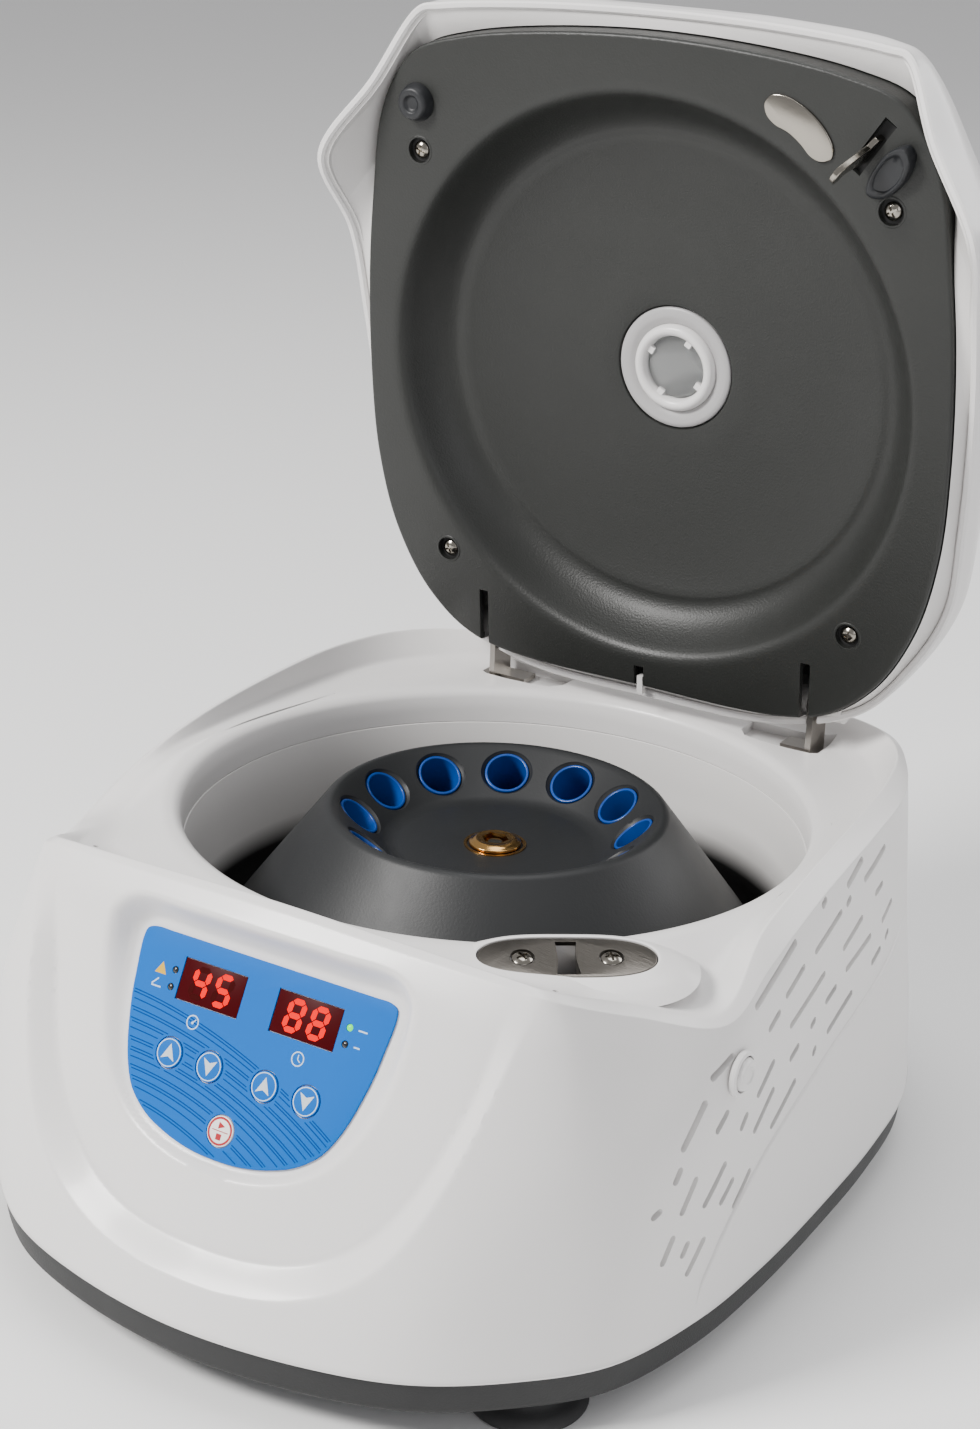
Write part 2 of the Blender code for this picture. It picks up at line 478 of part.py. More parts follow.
def build_rotor():
    piv = pivot("rotor_spin", (0, 0, 0))
    ro = turned("rotor", [(9.0, 121.0), (9.0, 124.0), (37, 124.0), (40.5, 125.0), (58.2, 138.8), (60.2, 139.8), (62.4, 139.0), (94, 97),
                          (101, 87), (102.5, 83), (102.5, 77), (101, 75.5), (72, 75.5), (42, 112), (20, 112), (18, 76.6), (6.4, 76.6), (6.4, 121.0)],
                ROTOR, steps=52, parent=piv)
    for k in range(TUBES):
        fr = tube_axis(k)
        cut(ro, prism("t_tube_bore_%02d" % (k + 1), disc(0, 0, TUBE_R + GAP, 18), -TUBE_LEN - GAP, 12, None, frame=fr, parent=piv))
        turned("tube_sleeve_%02d" % (k + 1), [(0, -TUBE_LEN), (TUBE_R - 2, -TUBE_LEN), (TUBE_R, -TUBE_LEN + 2.5), (TUBE_R, -0.3), (TUBE_BORE_R, -0.3),
                                              (TUBE_BORE_R, -TUBE_LEN + 2.0), (0, -TUBE_LEN + 1.5)], BLUE_TUBE,
               steps=18, axis=fr, parent=piv)
    turned("motor_shaft", [(0, 26.0), (6.0, 26.0), (6.0, 118.0), (5.0, 120.7), (0, 120.7)], STEEL, steps=24, parent=piv)
    nut = turned("rotor_nut", [(0, 121.3), (8.6, 121.3), (8.6, 124.3), (9.6, 124.3), (9.6, 125.5), (7.8, 126.6), (0, 126.6)], BRASS, steps=24, parent=piv)
    cut(nut, prism("t_hex", disc(0, 0, 4.8, 6), 122.8, 130, None, parent=piv))


# ---------------------------------------------------------------- lid (drawn shut, stood open by its pivot)
def build_lid():
    piv = pivot("lid_hinge", (0, HINGE_Y, HINGE_Z), -LID_OPEN)
    e, lo, mi, hi = ring(LID_EDGE), ring(LID_LOW), ring(LID_MID), ring(LID_HIGH)
    t = 3.0

    def shift(r, d, dz):
        return [Vector((p.x, p.y, p.z + dz)) for p in inset(r, d)]
    rings = [e, lo, mi, hi, circle_like(hi, 52, 203.6), circle_like(hi, 16.2, 205.4), circle_like(hi, 16.2, 176.0),
             circle_like(hi, 21.0, 176.0), circle_like(hi, 21.0, 201.6), circle_like(hi, 50, 200.4), shift(hi, 1.0, -3.2), shift(mi, 2.6, -2.2),
             shift(lo, t, -0.8), shift(e, t, 0.0)]
    sh = loft("lid_shell", rings, WHITE, closed=True, parent=piv)
    for s, a in ((-1, "l"), (1, "r")):
        for i, (x0, x1) in enumerate(((60, 68.6), (74.0, 82.6))):
            cut(sh, box("t_hinge_boss_%s%d" % (a, i), (min(s * x0, s * x1), 112.8, 151.5), (max(s * x0, s * x1), 127.2 if i == 0 else 124.6, 168), None, parent=piv), 'UNION')
        for i, (x, y, top) in enumerate(((96.3, -77.7, 184.0), (87.7, 82.2, 186.0))):
            cut(sh, prism("t_boss_%s%d" % (a, i), disc(s * x, y, 5.6, 16), LINER_Z + 2.9, top, None, parent=piv), 'UNION')
            cut(sh, prism("t_boss_bore_%s%d" % (a, i), disc(s * x, y, 1.9, 12), 145, 172, None, parent=piv))
        cut(sh, box("t_shell_slot_" + a, (min(s * 69.2, s * 73.4), 108, 140), (max(s * 69.2, s * 73.4), 140, 170.5), None, parent=piv))
    cut(sh, prism("t_rod_bore", disc(HINGE_Y, HINGE_Z, 3.05, 20), -83.5, 83.5, None,
                  frame=Matrix(((0, 0, 1, 0), (1, 0, 0, 0), (0, 1, 0, 0), (0, 0, 0, 1))), parent=piv))
    turned("hinge_rod", [(0, -82), (2.7, -82), (2.7, 82), (0, 82)], STEEL, steps=20, centre=(HINGE_Y, HINGE_Z),
           axis=Matrix(((0, 0, 1, 0), (1, 0, 0, 0), (0, 1, 0, 0), (0, 0, 0, 1))), parent=piv)
    # liner tray with the dished centre
    z = LINER_Z
    o1 = ring(LINER_EDGE, z + 1.2)
    o0 = inset(ring(LINER_EDGE, z), 1.4)

    def wall(p):
        f = min(max((-p.y - 50.0) / 60.0, 0.0), 1.0)
        return z + 3.2 + 8.0 * f * f * (3 - 2 * f)
    o2 = [Vector((p.x, p.y, wall(p))) for p in o1]
    o3 = [Vector((p.x, p.y, wall(p))) for p in inset(o1, 2.0)]
    o4 = [Vector((p.x, p.y, z + 2.5)) for p in inset(o1, 2.2)]
    face = [(111.0, 0.0), (107.8, 1.2), (104.2, 6.0), (98.5, 13.5), (90.0, 18.6), (70.0, 22.6), (45.0, 25.0), (24.0, 26.0)]
    rings = [o3, o2, o1, o0] + [circle_like(o1, r, z + h) for r, h in face]
    back = [(24.0, 28.5), (45.5, 27.5), (71.0, 25.2), (91.5, 21.2), (101.2, 15.8), (107.4, 7.2), (109.8, 3.4), (111.5, 2.5)]
    rings += [circle_like(o1, r, z + h) for r, h in back] + [o4]
    li = loft("lid_liner", rings, LINER, closed=True, parent=piv)
    for s, a in ((-1, "l"), (1, "r")):
        cut(li, box("t_liner_slot_" + a, (min(s * 69.2, s * 73.4), 97, 130), (max(s * 69.2, s * 73.4), 140, 160), None, parent=piv))
        for i, (x, y) in enumerate(((96.3, -77.7), (87.7, 82.2))):
            cut(li, prism("t_liner_hole_%s%d" % (a, i), disc(s * x, y, 4.6, 20), 130, 160, None, parent=piv))
            nm = "lid_screw_" + ("front_" if i == 0 else "rear_") + ("left" if s < 0 else "right")
            turned(nm, [(0, 145.6), (2.4, 145.6), (3.4, 146.6), (3.4, 147.6), (1.5, 147.6), (1.5, 166), (0, 166)], STEEL, steps=18,
                   centre=(s * x, y), parent=piv)
    cut(li, box("t_liner_mid_slot", (-2.1, 114.3, 130), (2.1, 140, 160), None, parent=piv))
    # latch hook on a vertical radial blade
    a = math.radians(-54.5)
    er = Vector((math.cos(a), math.sin(a), 0))
    et = Vector((-er.y, er.x, 0))
    hf = Matrix(((er.x, 0, et.x, 81.2), (er.y, 0, et.y, -89.4), (0, -1, 0, z), (0, 0, 0, 1)))
    cut(li, box("t_hook_slot", (1.0, -20, -2.6), (23.0, 20, 2.6), None, frame=hf, parent=piv))
    prism("latch_hook", [(5, -9), (16, -9), (16, 1.5), (12.6, 4.0), (11.5, 9), (7.4, 20.5), (3.0, 20.8), (0.6, 17.6), (3.6, 14.5), (5, 8)], -1.1, 1.1, STEEL,
          frame=hf, parent=piv)
    # strike plate beside it
    pts = []
    r0, r1, a0, a1, m = 113.1, 124.9, math.radians(-63.3), math.radians(-55.2), 10
    for i in range(m + 1):
        b = a0 + (a1 - a0) * i / m
        pts.append((r1 * math.cos(b), r1 * math.sin(b)))
    rc, rr = (r0 + r1) / 2, (r1 - r0) / 2
    for i in range(1, 8):
        b = math.pi * i / 8
        q = Vector((math.cos(a1), math.sin(a1))) * (rc + rr * math.cos(b)) + Vector((-math.sin(a1), math.cos(a1))) * rr * math.sin(b)
        pts.append((q.x, q.y))
    for i in range(m + 1):
        b = a1 + (a0 - a1) * i / m
        pts.append((r0 * math.cos(b), r0 * math.sin(b)))
    for i in range(1, 8):
        b = math.pi * i / 8
        q = Vector((math.cos(a0), math.sin(a0))) * (rc - rr * math.cos(b)) - Vector((-math.sin(a0), math.cos(a0))) * rr * math.sin(b)
        pts.append((q.x, q.y))
    prism("strike_plate", pts, z - 1.1, z - 0.3, STEEL, parent=piv)
    turned("bumper_left", [(0, 141.2), (3.0, 140.9), (4.0, 140.2), (5.8, 140.2), (6.8, 141.2), (7.4, z - 0.3), (0, z - 0.3)],
           RUBBER, steps=20, centre=(-96.6, -95.9), parent=piv)
    # the right bumper's lower face slopes with the latch plate it lands on
    out = [(88.0, -82.5), (91.5, -88.5), (96.8, -99.2), (100.5, -101.0), (103.6, -98.6), (104.2, -94.0), (101.6, -87.5),
           (96.2, -83.0), (90.2, -80.8)]
    lf = latch_frame()
    ez = Vector((lf[0][2], lf[1][2], lf[2][2]))

    def landing(x, y):
        return LATCH_Z + 0.9 - (ez.x * (x - LATCH_X) + ez.y * (y - LATCH_Y)) / ez.z
    nv = len(out)
    vs = [Vector((x, y, landing(x, y))) for x, y in out] + [Vector((x, y, z - 0.3)) for x, y in out]
    fs = [tuple(range(nv)), tuple(range(2 * nv - 1, nv - 1, -1))] + [(i, (i + 1) % nv, nv + (i + 1) % nv, nv + i) for i in range(nv)]
    make("bumper_right", vs, fs, RUBBER, parent=piv)
    turned("window_bezel", [(12.5, 171.3), (16.6, 170.2), (19.5, 170.8), (22.0, 172.4), (22.0, 175.7), (15.9, 175.7), (15.9, 173.0), (12.5, 173.0)],
           WHITE, steps=32, parent=piv)
    turned("window_lens", [(0, 173.3), (15.6, 173.3), (15.6, 175.7), (0, 175.7)], ((0.85, 0.87, 0.88), 0.05, 0.0), steps=32, parent=piv)


def main():
    wipe()
    build_base()
    build_housing()
    build_bowl_and_drive()
    build_panel()
    build_latch()
    build_straps()
    build_release()
    build_rotor()
    build_lid()
    bpy.context.view_layer.update()


main()
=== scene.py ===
# Looks of the bench-top laboratory centrifuge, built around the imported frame.
import bpy
import bmesh
import json
import math
import numpy as np
from mathutils import Vector, Matrix
from mathutils.bvhtree import BVHTree


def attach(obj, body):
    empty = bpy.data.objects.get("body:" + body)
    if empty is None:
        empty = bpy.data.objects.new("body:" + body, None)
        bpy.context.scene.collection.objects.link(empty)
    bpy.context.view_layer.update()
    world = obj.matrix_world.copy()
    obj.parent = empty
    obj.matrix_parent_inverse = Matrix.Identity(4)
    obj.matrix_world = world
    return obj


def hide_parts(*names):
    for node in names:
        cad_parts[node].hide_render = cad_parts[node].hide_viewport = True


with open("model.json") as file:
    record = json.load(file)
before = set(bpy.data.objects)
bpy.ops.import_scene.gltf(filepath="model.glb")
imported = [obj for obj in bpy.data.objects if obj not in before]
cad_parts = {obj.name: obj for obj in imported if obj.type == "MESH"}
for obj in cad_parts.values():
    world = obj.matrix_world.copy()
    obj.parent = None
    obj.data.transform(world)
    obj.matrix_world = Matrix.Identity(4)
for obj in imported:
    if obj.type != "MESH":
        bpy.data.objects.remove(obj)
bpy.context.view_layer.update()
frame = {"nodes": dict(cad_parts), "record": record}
MM = 0.001
Y0 = 9.0
HY, HZ, OPEN = 118.8, 159.6, math.radians(84.6)
LZ = 145.0
rng = np.random.default_rng(7)

# ------------------------------------------------------------------ outlines (mm, about the rotor axis)
SK = [(0, -190), (45, -184.5), (80, -172.5), (108, -151), (127, -128), (138, -90), (141.5, -50), (141.5, 0), (139.5, 45),
      (134, 85), (121, 117), (99, 145), (60, 165), (0, 172)]
SK = [(x, y, 24.0) for x, y in SK]
LOW = [(0, -183.5, 58), (45, -178.5, 58), (82, -168, 58), (109, -147.5, 58), (127.5, -125, 58), (138, -90, 58), (141, -50, 58),
       (141, 0, 58), (139, 45, 58), (132.5, 83, 58), (119, 115, 58), (98, 143, 58), (60, 163, 58), (0, 170, 58)]
MID = [(0, -170.5, 100), (45, -167, 100), (83, -158.5, 98), (110.5, -141, 96), (127, -118.5, 92), (137, -88, 90),
       (139.5, -50, 92), (139, 0, 94), (137, 45, 97), (129.5, 80, 100), (115, 111, 102), (94, 138, 103), (58, 157, 103), (0, 163, 103)]
HIGH = [(0, -153, 134), (45, -150.5, 133), (87, -144, 131), (106.5, -131, 129), (121, -107, 119), (135.2, -79, 115),
        (137, -48, 123), (136.5, 0, 131), (134, 42, 135), (127.5, 77, 138), (113, 107, 140), (92, 133, 140), (58, 151, 139), (0, 157, 138)]
RO = [(0, -137, 151), (50, -136, 149.5), (90, -132.5, 147), (99.5, -130, 145.5), (116, -104, 134), (133.6, -75.5, 124.3),
      (134.6, -48, 134), (134, -10, 143.5), (131.5, 40, 149), (127.5, 72, 151), (117, 98, 152), (99, 124, 151), (60, 145, 147), (0, 151, 146)]
RT = [(0, -134, 153), (50, -133, 151.5), (88, -130, 149), (96.5, -127.5, 147.5), (112, -101, 136), (130.2, -75.5, 127.0),
      (127.5, -42, 142), (126.5, -8, 149), (123.5, 40, 153.5), (120, 72, 155), (111, 102, 154.5), (94, 124, 152.5), (58, 141, 149), (0, 146, 148)]
DW = [(0, -129.9, 145.0), (48, -127.9, 144.4), (81, -123.5, 142.6), (95.5, -117.5, 140.6), (108.5, -96, 135.2), (124.5, -71, 129.6),
      (124.6, -39, 140.9), (124.0, -4, 143.2), (122.6, 40, 143.8), (116.8, 72, 144.2), (104.5, 99.5, 144.2), (87, 119.5, 144.2),
      (54, 136, 144.2), (0, 139.5, 144.2)]
DE = [(0, -126, 142.0), (48, -124, 141.5), (82, -115, 139.5), (93, -107, 138), (105, -89, 134.5), (118, -66, 132), (121, -36, 140),
      (118.5, 0, 142), (111, 40, 142), (105, 72, 142), (96, 97, 142), (79, 119, 142), (50, 133, 142), (0, 136, 142)]
IS = [(0, -186.5), (44, -181), (78, -169), (105, -148), (123.5, -125.5), (134.5, -89), (138.2, -50), (138.2, 0), (136.2, 44),
      (131, 83), (118.3, 114.5), (97, 142), (59, 161.8), (0, 168.7)]
IS = [(x, y, 24.0) for x, y in IS]
IL = [(0, -170, 56), (44, -169, 56), (79, -159.5, 56), (105.5, -142, 56), (123.3, -121.5, 56), (134.5, -89, 56), (137.7, -50, 56),
      (137.7, 0, 56), (135.7, 44, 56), (129.4, 81.3, 56), (116.4, 112.6, 56), (96, 140, 56), (59, 159.8, 56), (0, 166.7, 56)]
IM = [(0, -148, 98), (44, -147, 98), (79, -144, 96), (106, -133, 94), (123, -115, 91), (133.5, -87, 89), (136.2, -49, 91),
      (135.7, 0, 93), (133.7, 44, 95), (126.4, 78.4, 98), (112.4, 108.6, 100), (92, 135, 101), (57, 153.8, 101), (0, 159.7, 101)]
IH = [(0, -131, 129), (44, -130.5, 128.5), (81, -128, 127), (99, -121, 124), (114, -101, 114), (130, -76, 108), (132.5, -48, 118),
      (132, 0, 127), (129.5, 41, 131), (123, 74, 133), (109, 103, 134), (88, 128, 134), (56, 146, 133.5), (0, 152, 133)]
LE = [(0, -136, 154.5), (50, -135, 153), (89, -132, 150.5), (98.5, -130, 149), (114, -104, 138.5), (133.2, -75.5, 129.6),
      (130.5, -43, 144.5), (129.5, -9, 150.8), (126.5, 39, 155), (122.5, 71, 156.5), (109, 97, 156), (90, 118, 154.5), (57, 128.5, 151.5), (0, 130, 150.5)]
LL = [(0, -135.5, 166), (50, -134.5, 165), (88, -131, 163), (99.5, -126.5, 162), (117, -100, 158), (132.5, -72, 154), (132, -40, 158),
      (131, -8, 162), (128, 39, 166), (123, 70, 168), (109, 96, 168), (89.5, 116.5, 166), (57, 127.5, 164), (0, 129.5, 163)]
LM = [(0, -125, 184), (48, -123, 184), (83, -117, 182), (96, -110, 181), (110, -90, 179), (121, -66, 178), (123, -38, 180),
      (122, -8, 182), (119, 37, 184), (113, 66, 184), (99, 90, 183), (80, 108, 181), (50, 118.5, 179), (0, 121, 178)]
LH = [(0, -100, 198), (40, -98, 198), (68, -92, 197), (79, -85, 196.5), (90, -70, 196), (97, -50, 196), (99, -28, 197), (98, -5, 198),
      (95, 30, 198), (89, 54, 197.5), (78, 74, 196.5), (62, 88, 195.5), (38, 96, 195), (0, 98, 194.5)]
LN = [(0, -128.4), (47, -126), (78, -121.5), (97, -115.5), (107.5, -104), (114.5, -88), (118.5, -62), (121.8, -30), (122.8, 10),
      (120.5, 47), (112.5, 78), (97, 103.5), (74, 119), (0, 122.8)]
LN = [(x, y, LZ) for x, y in LN]


# ------------------------------------------------------------------ geometry helpers
def cr_closed(full, samples):
    """Closed centripetal Catmull-Rom through an (n,3) array; samples is a count or one count per span."""
    full = np.array(full, float)
    m = len(full)
    if isinstance(samples, int):
        samples = [samples] * m
    out = []
    for i in range(m):
        p0, p1, p2, p3 = full[(i - 1) % m], full[i], full[(i + 1) % m], full[(i + 2) % m]
        t0 = 0.0
        t1 = t0 + max(np.linalg.norm(p1 - p0), 1e-6) ** 0.5
        t2 = t1 + max(np.linalg.norm(p2 - p1), 1e-6) ** 0.5
        t3 = t2 + max(np.linalg.norm(p3 - p2), 1e-6) ** 0.5
        for k in range(samples[i]):
            t = t1 + (t2 - t1) * k / samples[i]
            a1 = (t1 - t) / (t1 - t0) * p0 + (t - t0) / (t1 - t0) * p1
            a2 = (t2 - t) / (t2 - t1) * p1 + (t - t1) / (t2 - t1) * p2
            a3 = (t3 - t) / (t3 - t2) * p2 + (t - t2) / (t3 - t2) * p3
            b1 = (t2 - t) / (t2 - t0) * a1 + (t - t0) / (t2 - t0) * a2
            b2 = (t3 - t) / (t3 - t1) * a2 + (t - t1) / (t3 - t1) * a3
            out.append((t2 - t) / (t2 - t1) * b1 + (t - t1) / (t2 - t1) * b2)
    return np.array(out)


def mirror_full(half):
    P = [np.array(p, float) for p in half]
    return np.array(P + [p * np.array([-1, 1, 1]) for p in P[-2:0:-1]])


def ring(half, samples):
    if isinstance(samples, int):
        samples = [samples] * 26
    return cr_closed(mirror_full(half), samples)


def circ(ref, r, z):
    a = np.arctan2(ref[:, 1], ref[:, 0])
    return np.stack([r * np.cos(a), r * np.sin(a), np.full(len(a), z)], 1)


def inset(R, d):
    t = np.roll(R, -1, 0) - np.roll(R, 1, 0)
    n = np.stack([-t[:, 1], t[:, 0], np.zeros(len(R))], 1)
    n /= np.maximum(np.linalg.norm(n, axis=1, keepdims=True), 1e-9)
    return R + n * d


def rows_cr(keys, per, open_ends=True):
    """Smooth rows through key rings (uniform Catmull-Rom down each column), end row included."""
    K = [2 * keys[0] - keys[1]] + list(keys) + [2 * keys[-1] - keys[-2]]
    out = []
    for i in range(1, len(K) - 2):
        p0, p1, p2, p3 = K[i - 1], K[i], K[i + 1], K[i + 2]
        for k in range(per):
            t = k / per
            out.append(0.5 * ((2 * p1) + (p2 - p0) * t + (2 * p0 - 5 * p1 + 4 * p2 - p3) * t * t + (3 * p1 - p0 - 3 * p2 + p3) * t ** 3))
    out.append(K[-2])
    return out


def fillet_rows(keys, ds, seg=4):
    """Rows through key rings with each inner corner rounded over a distance ds[i]."""
    out = [keys[0]]
    for i in range(1, len(keys) - 1):
        p, a, b = keys[i], keys[i - 1], keys[i + 1]
        la = np.linalg.norm(a - p, axis=1, keepdims=True)
        lb = np.linalg.norm(b - p, axis=1, keepdims=True)
        d = np.minimum(ds[i], 0.46 * np.minimum(la, lb))
        s, e = p + (a - p) / np.maximum(la, 1e-9) * d, p + (b - p) / np.maximum(lb, 1e-9) * d
        for k in range(seg + 1):
            t = k / seg
            out.append((1 - t) ** 2 * s + 2 * t * (1 - t) * p + t * t * e)
    out.append(keys[-1])
    return out


def to_obj(name, V, F, mat, sharp=35.0, lid=False, recalc=True, weighted=False):
    V = np.array(V, float)
    if lid:
        V = swing(V)
    V = V + np.array([0, Y0, 0])
    V[:, 0] = np.clip(V[:, 0], -141.88, 141.88)
    V[:, 2] = np.minimum(V[:, 2], 413.3)
    V = V * MM
    me = bpy.data.meshes.new(name)
    me.from_pydata([tuple(v) for v in V], [], [tuple(int(i) for i in f) for f in F])
    me.update()
    if recalc:
        bm = bmesh.new()
        bm.from_mesh(me)
        bmesh.ops.recalc_face_normals(bm, faces=bm.faces)
        bm.to_mesh(me)
        bm.free()
    o = bpy.data.objects.new(name, me)
    bpy.context.scene.collection.objects.link(o)
    if mat is not None:
        me.materials.append(mat)
    me.shade_smooth()
    if sharp is not None:
        me.set_sharp_from_angle(angle=math.radians(sharp))
    return o


def swing(V):
    """Shut-lid coordinates to the lid's open rest position."""
    c, s = math.cos(-OPEN), math.sin(-OPEN)
    y, z = V[:, 1] - HY, V[:, 2] - HZ
    return np.stack([V[:, 0], HY + y * c - z * s, HZ + y * s + z * c], 1)


def grid(rows, closed_rows=False, caps=True):
    n = len(rows[0])
    V = np.concatenate(rows)
    F = []
    last = len(rows) if closed_rows else len(rows) - 1
    i = np.arange(n)
    k = (i + 1) % n
    for j in range(last):
        a, b = j * n, ((j + 1) % len(rows)) * n
        F.append(np.stack([a + i, a + k, b + k, b + i], 1))
    F = [tuple(f) for f in np.concatenate(F)]
    if not closed_rows and caps:
        F.append(tuple(range(n - 1, -1, -1)))
        F.append(tuple((len(rows) - 1) * n + q for q in range(n)))
    return V, F


def turned(profile, steps=64, centre=(0, 0), axis=None, arc=None):
    """Closed solid of revolution of (r, z) points."""
    V, idx = [], []
    for r, z in profile:
        if r < 1e-6:
            idx.append([len(V)] * steps)
            V.append((centre[0], centre[1], z))
        else:
            row = []
            for s in range(steps):
                a = 2 * math.pi * s / steps
                row.append(len(V))
                V.append((centre[0] + r * math.cos(a), centre[1] + r * math.sin(a), z))
            idx.append(row)
    F = []
    for j in range(len(profile)):
        a, b = idx[j], idx[(j + 1) % len(profile)]
        if a[0] == a[1] and b[0] == b[1]:
            continue
        for s in range(steps):
            k = (s + 1) % steps
            g = []
            for v in (a[s], a[k], b[k], b[s]):
                if v not in g:
                    g.append(v)
            if len(g) > 2:
                F.append(tuple(g))
    V = np.array(V, float)
    if axis is not None:
        V = V @ np.array(axis)[:3, :3].T + np.array(axis)[:3, 3]
    return V, F


def round_profile(pts, ds, seg=3):
    """Round the corners of an (r, z) profile; ds is a distance per point."""
    out = []
    n = len(pts)
    for i, p in enumerate(pts):
        p = np.array(p, float)
        if ds[i] <= 0:
            out.append(tuple(p))
            continue
        a, b = np.array(pts[i - 1], float), np.array(pts[(i + 1) % n], float)
        d = min(ds[i], 0.48 * np.linalg.norm(a - p), 0.48 * np.linalg.norm(b - p))
        s, e = p + (a - p) / np.linalg.norm(a - p) * d, p + (b - p) / np.linalg.norm(b - p) * d
        for k in range(seg + 1):
            t = k / seg
            q = (1 - t) ** 2 * s + 2 * t * (1 - t) * p + t * t * e
            out.append(tuple(q))
    return out


def prism(outline, lo, hi, frame_m=None, bevel=0.0):
    """Extruded outline with an optional rounded top edge; outline anticlockwise or not."""
    O = np.array(outline, float)
    n = len(O)
    rows = []
    if bevel > 0:
        t = np.roll(O, -1, 0) - np.roll(O, 1, 0)
        nn = np.stack([-t[:, 1], t[:, 0]], 1)
        nn /= np.maximum(np.linalg.norm(nn, axis=1, keepdims=True), 1e-9)
        area = 0.5 * np.sum(O[:, 0] * np.roll(O[:, 1], -1) - np.roll(O[:, 0], -1) * O[:, 1])
        if area < 0:
            nn = -nn
        rows = [np.c_[O, np.full(n, lo)], np.c_[O, np.full(n, hi - bevel)]]
        for k in (1, 2, 3):
            a = math.pi / 2 * k / 3
            rows.append(np.c_[O + nn * bevel * (1 - math.cos(a)), np.full(n, hi - bevel + bevel * math.sin(a))])
    else:
        rows = [np.c_[O, np.full(n, lo)], np.c_[O, np.full(n, hi)]]
    V, F = grid(rows)
    if frame_m is not None:
        M = np.array(frame_m)
        V = V @ M[:3, :3].T + M[:3, 3]
    return V, F


def boxv(lo, hi, frame_m=None):
    return prism([(lo[0], lo[1]), (hi[0], lo[1]), (hi[0], hi[1]), (lo[0], hi[1])], lo[2], hi[2], frame_m)


def joined(parts):
    V, F, off = [], [], 0
    for v, f in parts:
        V.append(v)
        F += [tuple(i + off for i in q) for q in f]
        off += len(v)
    return np.concatenate(V), F


def disc(cx, cy, r, n=32):
    return [(cx + r * math.cos(2 * math.pi * i / n), cy + r * math.sin(2 * math.pi * i / n)) for i in range(n)]


def capsule(x0, y0, x1, y1, r, n=8):
    a = math.atan2(y1 - y0, x1 - x0)
    pts = []
    for i in range(n + 1):
        b = a - math.pi / 2 + math.pi * i / n
        pts.append((x1 + r * math.cos(b), y1 + r * math.sin(b)))
    for i in range(n + 1):
        b = a + math.pi / 2 + math.pi * i / n
        pts.append((x0 + r * math.cos(b), y0 + r * math.sin(b)))
    return pts


def carve(o, tools, lid=False, sharp=35.0, solver='MANIFOLD'):
    """Cut every closed tool, given in mm, out of o."""
    V, F = joined(tools)
    t = to_obj("tool_" + o.name, V, F, None, sharp=None, lid=lid)
    for sol in (solver, 'EXACT'):
        m = o.modifiers.new("cut", 'BOOLEAN')
        m.operation, m.solver, m.object = 'DIFFERENCE', sol, t
        n0 = len(o.data.vertices)
        dg = bpy.context.evaluated_depsgraph_get()
        me = bpy.data.meshes.new_from_object(o.evaluated_get(dg))
        o.modifiers.remove(m)
        if len(me.vertices) > 0 and len(me.vertices) != n0:
            break
    mats = list(o.data.materials)
    o.data = me
    me.materials.clear()
    for q in mats:
        me.materials.append(q)
    me.shade_smooth()
    me.set_sharp_from_angle(angle=math.radians(sharp))
    bpy.data.objects.remove(t, do_unlink=True)
    return o


def smooth01(t):
    t = np.clip(t, 0, 1)
    return t * t * (3 - 2 * t)


def sdf(P, poly):
    """Signed distance of (n,2) points to a closed polygon, positive inside."""
    A, B = np.array(poly), np.roll(np.array(poly), -1, 0)
    out = np.full(len(P), 1e9)
    inside = np.zeros(len(P), bool)
    for a, b in zip(A, B):
        ab = b - a
        t = np.clip(((P - a) @ ab) / max(ab @ ab, 1e-12), 0, 1)
        d = np.linalg.norm(P - (a + t[:, None] * ab), axis=1)
        out = np.minimum(out, d)
        c = (a[1] > P[:, 1]) != (b[1] > P[:, 1])
        with np.errstate(divide='ignore', invalid='ignore'):
            xi = (b[0] - a[0]) * (P[:, 1] - a[1]) / (b[1] - a[1]) + a[0]
        inside ^= c & (P[:, 0] < xi)
    return np.where(inside, out, -out)


# ------------------------------------------------------------------ frames
LEAN = math.radians(28.26)
PF = np.array([[1, 0, 0, 0],
               [0, -math.sin(LEAN), -math.cos(LEAN), -136.7],
               [0, -math.cos(LEAN), math.sin(LEAN), 131.6],
               [0, 0, 0, 1.0]])


def latch_frame(tilt=12.0):
    a, s = math.radians(35.5), math.radians(tilt)
    et = np.array([math.cos(a), math.sin(a), 0])
    er = np.array([math.sin(a), -math.cos(a), 0]) * math.cos(s) - np.array([0, 0, 1.0]) * math.sin(s)
    ew = np.cross(et, er)
    if ew[2] < 0:
        ew = -ew
    M = np.eye(4)
    M[:3, 0], M[:3, 1], M[:3, 2], M[:3, 3] = et, er, ew, (84.4, -93.4, 140.9)
    return M


LF = latch_frame()
XF = np.array([[0, 0, 1, 0], [1, 0, 0, 0], [0, 1, 0, 0], [0, 0, 0, 1.0]])     # (u, v, w) -> (y, z, x)
HF_A = math.radians(-54.5)
ER = np.array([math.cos(HF_A), math.sin(HF_A), 0])
ET = np.array([-ER[1], ER[0], 0])
HF = np.eye(4)
HF[:3, 0], HF[:3, 1], HF[:3, 2], HF[:3, 3] = ER, (0, 0, -1), ET, (81.2, -89.4, LZ)


def tube_axis(k):
    a, t = math.radians(27 + 30 * k), math.radians(38.0)
    out = np.array([math.cos(a), math.sin(a), 0])
    w = -(out * math.sin(t) - np.array([0, 0, math.cos(t)]))
    u = np.array([-math.sin(a), math.cos(a), 0])
    M = np.eye(4)
    M[:3, 0], M[:3, 1], M[:3, 2], M[:3, 3] = u, np.cross(w, u), w, out * 49.6 + np.array([0, 0, 132.1])
    return M


